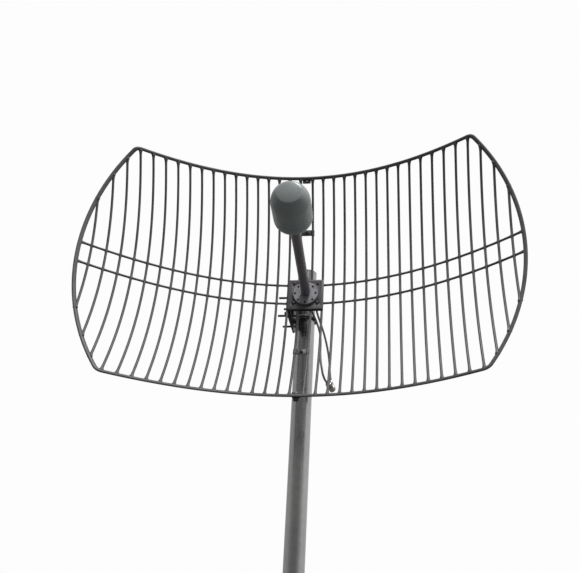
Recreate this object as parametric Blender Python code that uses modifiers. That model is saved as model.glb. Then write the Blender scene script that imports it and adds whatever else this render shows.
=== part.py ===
"""Grid parabolic antenna on a stub mast, modelled at its real size in metres, +Z up.

The mast stands on the origin and the antenna looks along -Y. The reflector is two cast grid
halves bolted together on the centre line, with a feed on an arm at its focus. A bracket tilts
it on a clamp plate, which two U-bolts hold to the mast.
"""

import math

import bmesh
import bpy
from mathutils import Matrix, Vector

# Gap left between pieces that touch
GAP = 0.0003

# Mast
MAST_RADIUS = 0.02415
MAST_WALL = 0.0032
MAST_LENGTH = 1.5
MAST_SIDES = 32
CAP_THICKNESS = 0.002
CAP_PLUG_LENGTH = 0.018
FOOT_SIDE = 0.16
FOOT_THICKNESS = 0.01
FOOT_HOLE_RADIUS = 0.007
FOOT_HOLE_PITCH = 0.12

# Reflector: a paraboloid cut by a circle and by a top and a bottom rail
FOCAL_LENGTH = 0.2728
OUTLINE_RADIUS = 0.4985
RAIL_HEIGHT = 0.2948
CORNER_RADIUS = 0.02
# The rail is oval: its width as seen from the front, and its thickness square to the dish
RAIL_HALF_WIDTH = 0.004
RAIL_HALF_THICKNESS = 0.0025
RAIL_STEPS = 9
CORNER_STEPS = 3
SIDE_STEPS = 7
CROSS_WIRE_STEPS = 11
WIRE_RADIUS = 0.003
WIRE_PITCH = 0.0271
FIRST_WIRE_X = 0.0153
WIRES_PER_HALF = 18
WIRE_STEP = 0.074
CROSS_WIRE_HEIGHT = 0.0252
CROSS_WIRE_START = 0.037
CROSS_WIRE_RADIUS = 0.0028
HALF_GAP = GAP / 2
REFLECTOR_FROM_MAST = Vector((0.009, -0.0925))
REFLECTOR_BELOW_MAST_TOP = 0.111

# Hub, in the reflector's own frame: x across, y to the back, z up
HUB_X = 0.002
HUB_WIDTH = 0.088
HUB_LOW = -0.0443
HUB_HIGH = 0.0367
HUB_THICKNESS = 0.0025
HUB_BACK = -0.007
HUB_SLOT_X = 0.029
HUB_SLOT_Z = 0.027
HUB_SLOT_LENGTH = 0.011
HUB_SLOT_WIDTH = 0.0056
HUB_BOLT_RADIUS = 0.0025
HUB_BOLT_HEAD_RADIUS = 0.0038
HUB_BOLT_HEAD_LENGTH = 0.002
HUB_BOLT_PAST_BRACKET = 0.006

# Feed
FLANGE_RADIUS = 0.031
FLANGE_THICKNESS = 0.005
FLANGE_DROP = 0.0025
ARM_RADIUS = 0.01125
ARM_LEAN = math.radians(1.61)
ARM_END = 0.3265
# Radome: distances are from the reflector's vertex, and both ends are rounded as ellipses
RADOME_RADIUS = 0.0415
RADOME_SEAM = 0.352
RADOME_BACK_FLAT = 0.0331
RADOME_BACK_CURVE = 0.0142
RADOME_SIDE_END = 0.3928
RADOME_FACE_MIDDLE = 0.0122
RADOME_FRONT_CURVE = 0.0404
RADOME_FACE_ANGLE = math.radians(61)
RADOME_TIP = 0.4311
RADOME_STEPS = 6
GLAND_RADIUS = 0.010
GLAND_NUT_LENGTH = 0.006
GLAND_NECK_RADIUS = 0.0055
GLAND_LENGTH = 0.009

# Tilt bracket and mast clamp
BRACKET_FRONT = 0.0032
BRACKET_THICKNESS = 0.003
BRACKET_LOW = -0.042
BRACKET_HIGH = 0.0355
BRACKET_RIGHT = 0.042
PIVOT = Vector((0.028, -0.036))
LOCK = Vector((0.036, -0.004))
MAX_TILT = math.radians(25)
CLAMP_FACE_X = -0.0385
CLAMP_THICKNESS = 0.004
PIVOT_BOLT_RADIUS = 0.004
LOCK_BOLT_RADIUS = 0.003
HOLE_CLEARANCE = 0.0003
U_BOLT_RADIUS = 0.003
U_BOLT_HALF_WIDTH = 0.0305
U_BOLT_HEIGHT = 0.0255
U_BOLT_END = -0.075
NUT_RADIUS = 0.0058
NUT_LENGTH = 0.005
WASHER_RADIUS = 0.0065
WASHER_LENGTH = 0.0012
SADDLE_HALF_HEIGHT = 0.004
SADDLE_HALF_WIDTH = 0.0085
SADDLE_DEPTH = 0.55
CLAMP_LOW = -0.054
CLAMP_HIGH = 0.045
CLAMP_FRONT = 0.0115
CLAMP_CORNER_Y = 0.112
CLAMP_CORNER_LOW = -0.05
CLAMP_CORNER_HIGH = -0.035
PIVOT_MARGIN = 0.012
LOCK_MARGIN = 0.008
THREAD_PAST_NUT = 0.004
HEAD_WIDTH = 1.8
HEAD_HEIGHT = 1.2
NUT_HEIGHT = 1.5
BORE_CUT_LENGTH = 0.03

# Ties between the grid halves
TIE_THICKNESS = 0.003
RAIL_TIE_WIDTH = 0.0205
# Height above the middle of the reflector of both edges and of the bolt, for either rail
TOP_TIE = (0.2828, 0.2968, 0.2858)
BOTTOM_TIE = (0.285, 0.3065, 0.3028)
WIRE_TIE_HEIGHT = 0.015
WIRE_TIE_Z = 0.1645
WIRE_TIE_BOLT_X = 0.001
TIE_BOLT_RADIUS = 0.0044
RAIL_TIE_BOLT_RADIUS = 0.0035
TIE_BOLT_LENGTH = 0.0035

# Coax leads, their routes in the reflector's frame, and the connectors on them
COAX_RADIUS = 0.0026
COAX_STEP = 0.008
PIGTAIL_ROUTE = [
    (0.0039, 0.0327, -0.0041),
    (0.0078, 0.0378, -0.0126),
    (0.0127, 0.0400, -0.0236),
    (0.0179, 0.0401, -0.0356),
    (0.0230, 0.0392, -0.0480),
    (0.0277, 0.0377, -0.0602),
    (0.0330, 0.0357, -0.0762),
    (0.0366, 0.0339, -0.0921),
    (0.0384, 0.0322, -0.1081),
    (0.0391, 0.0302, -0.1244),
    (0.0393, 0.0278, -0.1413),
    (0.0405, 0.0253, -0.1586),
    (0.0426, 0.0234, -0.1761),
    (0.0450, 0.0235, -0.1888),
    (0.0481, 0.0256, -0.1998),
]
PIGTAIL_END = Vector((0.0555, 0.0401, -0.2139))
PIGTAIL_END_DIRECTION = Vector((0.47, 0.80, -0.38)).normalized()
STRAIGHT_END = 0.008
PLUG_RADIUS = 0.0072
PLUG_LENGTH = 0.014
ELBOW_ARM_RADIUS = 0.008
ELBOW_ARM_LENGTH = 0.012
ELBOW_BARREL_RADIUS = 0.0062
ELBOW_BARREL_LENGTH = 0.022
ELBOW_HEEL = 0.003
ELBOW_BARREL_DIRECTION = Vector((-0.20, 0.02, 1.0)).normalized()
LEAD_ROUTE = [
    (0.0602, 0.0615, -0.1775),
    (0.0590, 0.0589, -0.1572),
    (0.0566, 0.0559, -0.1371),
    (0.0529, 0.0528, -0.1172),
    (0.0483, 0.0496, -0.0974),
    (0.0428, 0.0459, -0.0779),
    (0.0362, 0.0415, -0.0587),
    (0.0294, 0.0366, -0.0397),
    (0.0262, 0.0340, -0.0281),
]
LEAD_END = Vector((0.0240, 0.0320, -0.0040))
LEAD_PLUG_RADIUS = 0.006
LEAD_PLUG_LENGTH = 0.026
CLIP_WIDTH = 0.008
CLIP_HEIGHT = 0.006
CLIP_RISE = 0.012

MAST_TOP = FOOT_THICKNESS + MAST_LENGTH
VERTEX = Vector((*REFLECTOR_FROM_MAST, MAST_TOP - REFLECTOR_BELOW_MAST_TOP))
HUB_FRONT = HUB_BACK - HUB_THICKNESS
FLANGE_FRONT = HUB_FRONT - GAP - FLANGE_THICKNESS
BRACKET_BACK = BRACKET_FRONT + BRACKET_THICKNESS
MAST_Y = -REFLECTOR_FROM_MAST.y
MAST_X = -REFLECTOR_FROM_MAST.x

for old in list(bpy.data.objects):
    bpy.data.objects.remove(old, do_unlink=True)

parts = bpy.data.collections.new("grid_parabolic_antenna")
cutters = bpy.data.collections.new("cutters")
bpy.context.scene.collection.children.link(parts)
bpy.context.scene.collection.children.link(cutters)

# The reflector and all that rides with it is placed from the vertex of the paraboloid
vertex_frame = bpy.data.objects.new("reflector_vertex", None)
vertex_frame.location = VERTEX
parts.objects.link(vertex_frame)


def material(name, colour, roughness, metallic):
    made = bpy.data.materials.new(name)
    made.use_nodes = True
    shader = made.node_tree.nodes["Principled BSDF"]
    shader.inputs["Base Color"].default_value = (*colour, 1)
    shader.inputs["Roughness"].default_value = roughness
    shader.inputs["Metallic"].default_value = metallic
    return made


grid_paint = material("grid_paint", (0.075, 0.075, 0.08), 0.5, 0.3)
zinc = material("zinc", (0.4, 0.4, 0.42), 0.4, 0.9)
pole_steel = material("pole_steel", (0.45, 0.46, 0.45), 0.25, 1.0)
dark_steel = material("dark_steel", (0.05, 0.048, 0.05), 0.5, 0.6)
arm_paint = material("arm_paint", (0.045, 0.04, 0.043), 0.45, 0.1)
radome_plastic = material("radome_plastic", (0.12, 0.125, 0.125), 0.3, 0.0)
black_plastic = material("black_plastic", (0.02, 0.02, 0.02), 0.5, 0.0)
coax_jacket = material("coax_jacket", (0.18, 0.175, 0.18), 0.5, 0.0)
nickel = material("nickel", (0.55, 0.53, 0.5), 0.3, 1.0)


def add_object(name, data, finish, frame=vertex_frame):
    made = bpy.data.objects.new(name, data)
    data.materials.clear()
    data.materials.append(finish)
    made.parent = frame
    parts.objects.link(made)
    return made


def add_cutter(name, data, frame=vertex_frame):
    made = bpy.data.objects.new(name, data)
    made.parent = frame
    made.hide_render = True
    made.display_type = "WIRE"
    cutters.objects.link(made)
    return made


def cylinder_mesh(name, radius, length, axis, sides, start=(0, 0, 0)):
    """A closed cylinder from the start point along the axis."""
    bm = bmesh.new()
    bmesh.ops.create_cone(
        bm, cap_ends=True, segments=sides, radius1=radius, radius2=radius, depth=length
    )
    turn = Vector(axis).to_track_quat("Z", "Y").to_matrix().to_4x4()
    middle = Vector(start) + Vector(axis).normalized() * length / 2
    bmesh.ops.transform(bm, matrix=Matrix.Translation(middle) @ turn, verts=bm.verts)
    mesh = bpy.data.meshes.new(name)
    bm.to_mesh(mesh)
    bm.free()
    return mesh


def box_mesh(name, low, high):
    bm = bmesh.new()
    bmesh.ops.create_cube(bm, size=1)
    low, high = Vector(low), Vector(high)
    bmesh.ops.scale(bm, vec=high - low, verts=bm.verts)
    bmesh.ops.translate(bm, vec=(low + high) / 2, verts=bm.verts)
    mesh = bpy.data.meshes.new(name)
    bm.to_mesh(mesh)
    bm.free()
    return mesh


def join_meshes(name, meshes):
    """Several closed shapes as one mesh, which a self-union then makes one body."""
    bm = bmesh.new()
    for mesh in meshes:
        bm.from_mesh(mesh)
        bpy.data.meshes.remove(mesh)
    joined = bpy.data.meshes.new(name)
    bm.to_mesh(joined)
    bm.free()
    return joined


def cut(target, cutter):
    modifier = target.modifiers.new(cutter.name, "BOOLEAN")
    modifier.operation = "DIFFERENCE"
    modifier.object = cutter
    modifier.solver = "EXACT"


def curve_mesh(name, points, radius, resolution):
    """A tube along the points, with its caps welded."""
    curve = bpy.data.curves.new(name, "CURVE")
    curve.dimensions = "3D"
    curve.bevel_depth = radius
    curve.bevel_resolution = resolution
    curve.use_fill_caps = True
    spline = curve.splines.new("POLY")
    spline.points.add(len(points) - 1)
    for target, point in zip(spline.points, points):
        target.co = (*point, 1)
    carrier = bpy.data.objects.new(name, curve)
    parts.objects.link(carrier)
    seen = carrier.evaluated_get(bpy.context.evaluated_depsgraph_get())
    mesh = bpy.data.meshes.new_from_object(seen)
    bpy.data.objects.remove(carrier)
    bpy.data.curves.remove(curve)
    bm = bmesh.new()
    bm.from_mesh(mesh)
    bmesh.ops.remove_doubles(bm, verts=bm.verts, dist=0.00001)
    bm.to_mesh(mesh)
    bm.free()
    return mesh


def plate_mesh(name, outline, thickness, holes=()):
    """A flat plate from a closed outline and its holes, all in its own XY plane."""
    curve = bpy.data.curves.new(name, "CURVE")
    curve.dimensions = "2D"
    curve.fill_mode = "BOTH"
    curve.extrude = thickness / 2
    for loop in (outline, *holes):
        spline = curve.splines.new("POLY")
        spline.points.add(len(loop) - 1)
        spline.use_cyclic_u = True
        for target, point in zip(spline.points, loop):
            target.co = (point[0], point[1], 0, 1)
    carrier = bpy.data.objects.new(name, curve)
    parts.objects.link(carrier)
    seen = carrier.evaluated_get(bpy.context.evaluated_depsgraph_get())
    mesh = bpy.data.meshes.new_from_object(seen)
    bpy.data.objects.remove(carrier)
    bpy.data.curves.remove(curve)
    bm = bmesh.new()
    bm.from_mesh(mesh)
    bmesh.ops.remove_doubles(bm, verts=bm.verts, dist=0.00001)
    bmesh.ops.recalc_face_normals(bm, faces=bm.faces)
    bm.to_mesh(mesh)
    bm.free()
    return mesh


def circle(centre, radius, sides=16):
    angles = (2 * math.pi * step / sides for step in range(sides))
    return [(centre[0] + radius * math.cos(a), centre[1] + radius * math.sin(a)) for a in angles]


def slot(centre, length, width, steps=6):
    """A slot with round ends, along its own X."""
    half = (length - width) / 2
    points = []
    for side, first in ((1, -90), (-1, 90)):
        for step in range(steps + 1):
            angle = math.radians(first + 180 * step / steps)
            x = centre[0] + side * half + width / 2 * math.cos(angle)
            points.append((x, centre[1] + width / 2 * math.sin(angle)))
    return points


def on_dish(x, z):
    return Vector((x, -(x * x + z * z) / (4 * FOCAL_LENGTH), z))


def lay_on_dish(mesh, flattening):
    """Bends a flat shape on the XZ plane to the dish, its own Y square to the surface."""
    for vertex in mesh.vertices:
        x, y, z = vertex.co
        normal = Vector((x / (2 * FOCAL_LENGTH), 1, z / (2 * FOCAL_LENGTH))).normalized()
        vertex.co = on_dish(x, z) + normal * y * flattening
    return mesh


# Mast, on its own frame at the origin
def make_mast():
    outer = cylinder_mesh("mast_pole", MAST_RADIUS, MAST_LENGTH, (0, 0, 1), MAST_SIDES)
    pole = add_object("mast_pole", outer, pole_steel, None)
    pole.location.z = FOOT_THICKNESS + GAP
    bore = cylinder_mesh(
        "mast_bore", MAST_RADIUS - MAST_WALL, MAST_LENGTH + FOOT_SIDE, (0, 0, 1), MAST_SIDES
    )
    bore_cutter = add_cutter("mast_bore", bore, None)
    bore_cutter.location.z = -FOOT_SIDE / 4
    cut(pole, bore_cutter)

    half = FOOT_SIDE / 2
    corners = [(-half, -half), (half, -half), (half, half), (-half, half)]
    pitch = FOOT_HOLE_PITCH / 2
    holes = [
        circle((x * pitch, y * pitch), FOOT_HOLE_RADIUS) for x in (-1, 1) for y in (-1, 1)
    ]
    foot = plate_mesh("mast_foot_plate", corners, FOOT_THICKNESS, holes)
    add_object("mast_foot_plate", foot, pole_steel, None).location.z = FOOT_THICKNESS / 2

    disc = cylinder_mesh("cap_disc", MAST_RADIUS, CAP_THICKNESS, (0, 0, 1), MAST_SIDES)
    plug_radius = MAST_RADIUS - MAST_WALL - GAP
    plug = cylinder_mesh(
        "cap_plug", plug_radius, CAP_PLUG_LENGTH, (0, 0, -1), 24, (0, 0, CAP_THICKNESS / 2)
    )
    cap = add_object("mast_cap", join_meshes("mast_cap", [disc, plug]), black_plastic, None)
    cap.location.z = MAST_TOP + 2 * GAP
    self_union(cap)


def self_union(target):
    """Makes one body of the overlapping shapes in a mesh."""
    modifier = target.modifiers.new("one_body", "BOOLEAN")
    modifier.operation = "UNION"
    modifier.operand_type = "COLLECTION"
    modifier.collection = nothing
    modifier.solver = "EXACT"
    modifier.use_self = True


nothing = bpy.data.collections.new("nothing_to_add")
bpy.context.scene.collection.children.link(nothing)


def rail_points(side):
    """The rail of one half: in from the centre line, round the corner, down the side and back."""
    inner_z = RAIL_HEIGHT - CORNER_RADIUS
    centre_x = math.sqrt((OUTLINE_RADIUS - CORNER_RADIUS) ** 2 - inner_z**2)
    arc_start = math.atan2(inner_z, centre_x)
    quarter = [
        (HALF_GAP + (centre_x - HALF_GAP) * step / RAIL_STEPS, RAIL_HEIGHT)
        for step in range(RAIL_STEPS + 1)
    ]
    for step in range(1, CORNER_STEPS + 1):
        angle = math.pi / 2 + (arc_start - math.pi / 2) * step / CORNER_STEPS
        x = centre_x + CORNER_RADIUS * math.cos(angle)
        quarter.append((x, inner_z + CORNER_RADIUS * math.sin(angle)))
    for step in range(1, SIDE_STEPS + 1):
        angle = arc_start * (1 - step / SIDE_STEPS)
        quarter.append((OUTLINE_RADIUS * math.cos(angle), OUTLINE_RADIUS * math.sin(angle)))
    lower = [(x, -z) for x, z in reversed(quarter[:-1])]
    return [(side * x, 0, z) for x, z in quarter + lower]


def wire_reach(x):
    """How far up a wire at x meets the rail or the side arc."""
    return min(RAIL_HEIGHT, math.sqrt(OUTLINE_RADIUS**2 - x * x))


def make_grid_half(name, side):
    rail = curve_mesh(name, rail_points(side), RAIL_HALF_WIDTH, 2)
    shapes = [lay_on_dish(rail, RAIL_HALF_THICKNESS / RAIL_HALF_WIDTH)]
    for number in range(WIRES_PER_HALF):
        x = FIRST_WIRE_X + number * WIRE_PITCH
        reach = wire_reach(x)
        steps = 2 * round(reach / WIRE_STEP) + 1
        points = [on_dish(side * x, -reach + 2 * reach * step / steps) for step in range(steps + 1)]
        shapes.append(curve_mesh(name, points, WIRE_RADIUS, 1))
    for z in (CROSS_WIRE_HEIGHT, -CROSS_WIRE_HEIGHT):
        end = math.sqrt(OUTLINE_RADIUS**2 - z * z)
        length = end - CROSS_WIRE_START
        points = [
            on_dish(side * (CROSS_WIRE_START + length * step / CROSS_WIRE_STEPS), z)
            for step in range(CROSS_WIRE_STEPS + 1)
        ]
        shapes.append(curve_mesh(name, points, CROSS_WIRE_RADIUS, 1))
    half = add_object(name, join_meshes(name, shapes), grid_paint)
    self_union(half)


def make_ties():
    """Small plates and bolts that hold the two halves together on the centre line."""
    slope = math.atan(RAIL_HEIGHT / (2 * FOCAL_LENGTH))
    rail_depth = math.hypot(
        RAIL_HALF_WIDTH * math.tan(slope), RAIL_HALF_THICKNESS * math.cos(slope)
    )
    rail_y = on_dish(0, RAIL_HEIGHT).y + rail_depth + GAP
    for name, sign, (near, far, bolt_z) in (("top", 1, TOP_TIE), ("bottom", -1, BOTTOM_TIE)):
        low, high = sorted((sign * near, sign * far))
        half = RAIL_TIE_WIDTH / 2
        plate = box_mesh(
            "rail_tie_" + name, (-half, rail_y, low), (half, rail_y + TIE_THICKNESS, high)
        )
        add_object("rail_tie_" + name, plate, grid_paint)
        start = (0, rail_y - GAP, sign * bolt_z)
        bolt = cylinder_mesh(
            "rail_tie_bolt_" + name, RAIL_TIE_BOLT_RADIUS, TIE_BOLT_LENGTH, (0, -1, 0), 6, start
        )
        add_object("rail_tie_bolt_" + name, bolt, dark_steel)
    half = FIRST_WIRE_X - WIRE_RADIUS - GAP
    for name, sign in (("upper", 1), ("lower", -1)):
        y = on_dish(0, WIRE_TIE_Z).y
        z = sign * WIRE_TIE_Z
        plate = box_mesh(
            "wire_tie_" + name,
            (-half, y - TIE_THICKNESS / 2, z - WIRE_TIE_HEIGHT / 2),
            (half, y + TIE_THICKNESS / 2, z + WIRE_TIE_HEIGHT / 2),
        )
        add_object("wire_tie_" + name, plate, grid_paint)
        start = (WIRE_TIE_BOLT_X, y - TIE_THICKNESS / 2 - GAP, z)
        bolt = cylinder_mesh(
            "wire_tie_bolt_" + name, TIE_BOLT_RADIUS, TIE_BOLT_LENGTH, (0, -1, 0), 6, start
        )
        add_object("wire_tie_bolt_" + name, bolt, dark_steel)


def stand_up(target, x, y, z):
    """Turns a plate from its own XY plane to the XZ plane, facing the front."""
    target.rotation_euler = (math.radians(90), 0, 0)
    target.location = (x, y, z)


def make_hub():
    half = HUB_WIDTH / 2
    corners = [(-half, HUB_LOW), (half, HUB_LOW), (half, HUB_HIGH), (-half, HUB_HIGH)]
    slots = [
        slot((sx * HUB_SLOT_X, sz * HUB_SLOT_Z), HUB_SLOT_LENGTH, HUB_SLOT_WIDTH)
        for sx in (-1, 1)
        for sz in (-1, 1)
    ]
    plate = plate_mesh("hub_plate", corners, HUB_THICKNESS, slots)
    stand_up(add_object("hub_plate", plate, grid_paint), HUB_X, HUB_BACK - HUB_THICKNESS / 2, 0)

    flange = cylinder_mesh(
        "feed_flange", FLANGE_RADIUS, FLANGE_THICKNESS, (0, -1, 0), 40, (0, 0, 0)
    )
    add_object("feed_flange", flange, zinc).location = (HUB_X, HUB_FRONT - GAP, -FLANGE_DROP)

    shank = BRACKET_BACK + HUB_BOLT_PAST_BRACKET - HUB_FRONT
    for across in (-1, 1):
        for up in (-1, 1):
            level = "lower" if up < 0 else "upper"
            name = "hub_bolt_" + level + ("_left" if across < 0 else "_right")
            shaft = cylinder_mesh(name, HUB_BOLT_RADIUS, shank, (0, 1, 0), 10, (0, -2 * GAP, 0))
            head = cylinder_mesh(
                name, HUB_BOLT_HEAD_RADIUS, HUB_BOLT_HEAD_LENGTH, (0, -1, 0), 10, (0, -GAP, 0)
            )
            bolt = add_object(name, join_meshes(name, [shaft, head]), dark_steel)
            bolt.location = (HUB_X + across * HUB_SLOT_X, HUB_FRONT, up * HUB_SLOT_Z)
            self_union(bolt)


def lathe(name, profile, finish, frame, steps=32):
    """A solid turned about the frame's Z from (radius, height) points that go down from the top."""
    mesh = bpy.data.meshes.new(name)
    count = len(profile)
    mesh.from_pydata([(r, 0, h) for r, h in profile], [(i, i + 1) for i in range(count - 1)], [])
    turned = add_object(name, mesh, finish, frame)
    screw = turned.modifiers.new("turn", "SCREW")
    screw.steps = steps
    screw.render_steps = steps
    screw.use_merge_vertices = True
    screw.merge_threshold = 0.00001


def ellipse_profile(middle, start, curve, last):
    """From the radome's side to an angle round the ellipse, as radius and distance."""
    reach = RADOME_RADIUS - middle
    angles = (last * step / RADOME_STEPS for step in range(RADOME_STEPS + 1))
    return [(middle + reach * math.cos(a), start + curve * math.sin(a)) for a in angles]


def make_feed():
    """Arm and radome lie along an axis that leans a little to the right of the boresight."""
    along = bpy.data.objects.new("feed_axis", None)
    along.parent = vertex_frame
    along.location = (HUB_X, 0, 0)
    along.rotation_euler = (math.radians(90), 0, ARM_LEAN)
    parts.objects.link(along)

    start = -FLANGE_FRONT + 2 * GAP + ARM_RADIUS * math.tan(ARM_LEAN)
    arm = cylinder_mesh(
        "feed_arm", ARM_RADIUS, ARM_END - start, (0, 0, 1), 24, (0, 0, start)
    )
    add_object("feed_arm", arm, arm_paint, along)

    base = ARM_END + GAP
    side_start = base + RADOME_BACK_CURVE
    back = ellipse_profile(RADOME_BACK_FLAT, side_start, -RADOME_BACK_CURVE, math.pi / 2)
    back = [(0, RADOME_SEAM), (RADOME_RADIUS, RADOME_SEAM), *back, (0, base)]
    lathe("radome_base", back, radome_plastic, along)
    front_base = RADOME_SEAM + GAP
    front = ellipse_profile(
        RADOME_FACE_MIDDLE, RADOME_SIDE_END, RADOME_FRONT_CURVE, RADOME_FACE_ANGLE
    )
    front = [(0, front_base), (RADOME_RADIUS, front_base), *front, (0, RADOME_TIP)]
    lathe("radome", front[::-1], radome_plastic, along)

    nut = cylinder_mesh("feed_gland", GLAND_RADIUS, GLAND_NUT_LENGTH, (0, 1, 0), 6, (0, 0, 0))
    neck = cylinder_mesh("feed_gland", GLAND_NECK_RADIUS, GLAND_LENGTH, (0, 1, 0), 16, (0, 0, 0))
    gland = add_object("feed_gland", join_meshes("feed_gland", [nut, neck]), nickel)
    gland.location = (HUB_X, BRACKET_BACK + GAP, 0)
    self_union(gland)


def sideways(target, x):
    """Turns a plate from its own XY plane to the YZ plane, with its X to the back."""
    target.rotation_euler = (math.radians(90), 0, math.radians(90))
    target.location = (x, 0, 0)


def arc_slot(centre, first, last, radius, width, steps=8):
    """A slot along an arc about the centre, with round ends."""
    points = []
    half = width / 2
    for step in range(steps + 1):
        angle = first + (last - first) * step / steps
        points.append((radius + half, angle))
    loop = [(centre[0] + r * math.cos(a), centre[1] + r * math.sin(a)) for r, a in points]
    end = (centre[0] + radius * math.cos(last), centre[1] + radius * math.sin(last))
    for step in range(1, 6):
        turn = last + math.pi * step / 6
        loop.append((end[0] + half * math.cos(turn), end[1] + half * math.sin(turn)))
    for step in range(steps + 1):
        angle = last + (first - last) * step / steps
        inner = radius - half
        loop.append((centre[0] + inner * math.cos(angle), centre[1] + inner * math.sin(angle)))
    begin = (centre[0] + radius * math.cos(first), centre[1] + radius * math.sin(first))
    for step in range(1, 6):
        turn = first + math.pi + math.pi * step / 6
        loop.append((begin[0] + half * math.cos(turn), begin[1] + half * math.sin(turn)))
    return loop


def make_bracket():
    """L-shaped bracket: a back leg behind the grid and a flange that the clamp plate carries."""
    flange_x = CLAMP_FACE_X + GAP
    inner_x = flange_x + BRACKET_THICKNESS
    leg_corners = [
        (flange_x, BRACKET_LOW),
        (BRACKET_RIGHT, BRACKET_LOW),
        (BRACKET_RIGHT, BRACKET_HIGH),
        (flange_x, BRACKET_HIGH),
    ]
    holes = [
        circle((HUB_X + sx * HUB_SLOT_X, sz * HUB_SLOT_Z), HUB_BOLT_RADIUS + HOLE_CLEARANCE, 12)
        for sx in (-1, 1)
        for sz in (-1, 1)
    ]
    leg = plate_mesh("tilt_bracket", leg_corners, BRACKET_THICKNESS, holes)
    stood = Matrix.Rotation(math.radians(90), 4, "X")
    leg.transform(Matrix.Translation((0, BRACKET_FRONT + BRACKET_THICKNESS / 2, 0)) @ stood)

    reach = LOCK - PIVOT
    radius = reach.length
    first = math.atan2(reach.y, reach.x)
    front = BRACKET_FRONT + BRACKET_THICKNESS / 3
    back = LOCK.x + LOCK_MARGIN
    outline = [
        (front, PIVOT.y - PIVOT_MARGIN),
        (PIVOT.x + PIVOT_MARGIN / 2, PIVOT.y - PIVOT_MARGIN),
        (back, PIVOT.y),
        (back, LOCK.y + LOCK_MARGIN),
        (front, LOCK.y + 2 * LOCK_MARGIN),
    ]
    extra = math.radians(1.5)
    slots = [
        circle(PIVOT, PIVOT_BOLT_RADIUS + HOLE_CLEARANCE),
        arc_slot(
            PIVOT, first - extra, first + MAX_TILT + extra, radius,
            2 * (LOCK_BOLT_RADIUS + HOLE_CLEARANCE),
        ),
    ]
    flange = plate_mesh("tilt_bracket", outline, BRACKET_THICKNESS, slots)
    turn = Matrix.Rotation(math.radians(90), 4, "Z") @ stood
    flange.transform(Matrix.Translation(((flange_x + inner_x) / 2, 0, 0)) @ turn)
    bracket = add_object("tilt_bracket", join_meshes("tilt_bracket", [leg, flange]), dark_steel)
    self_union(bracket)


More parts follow.
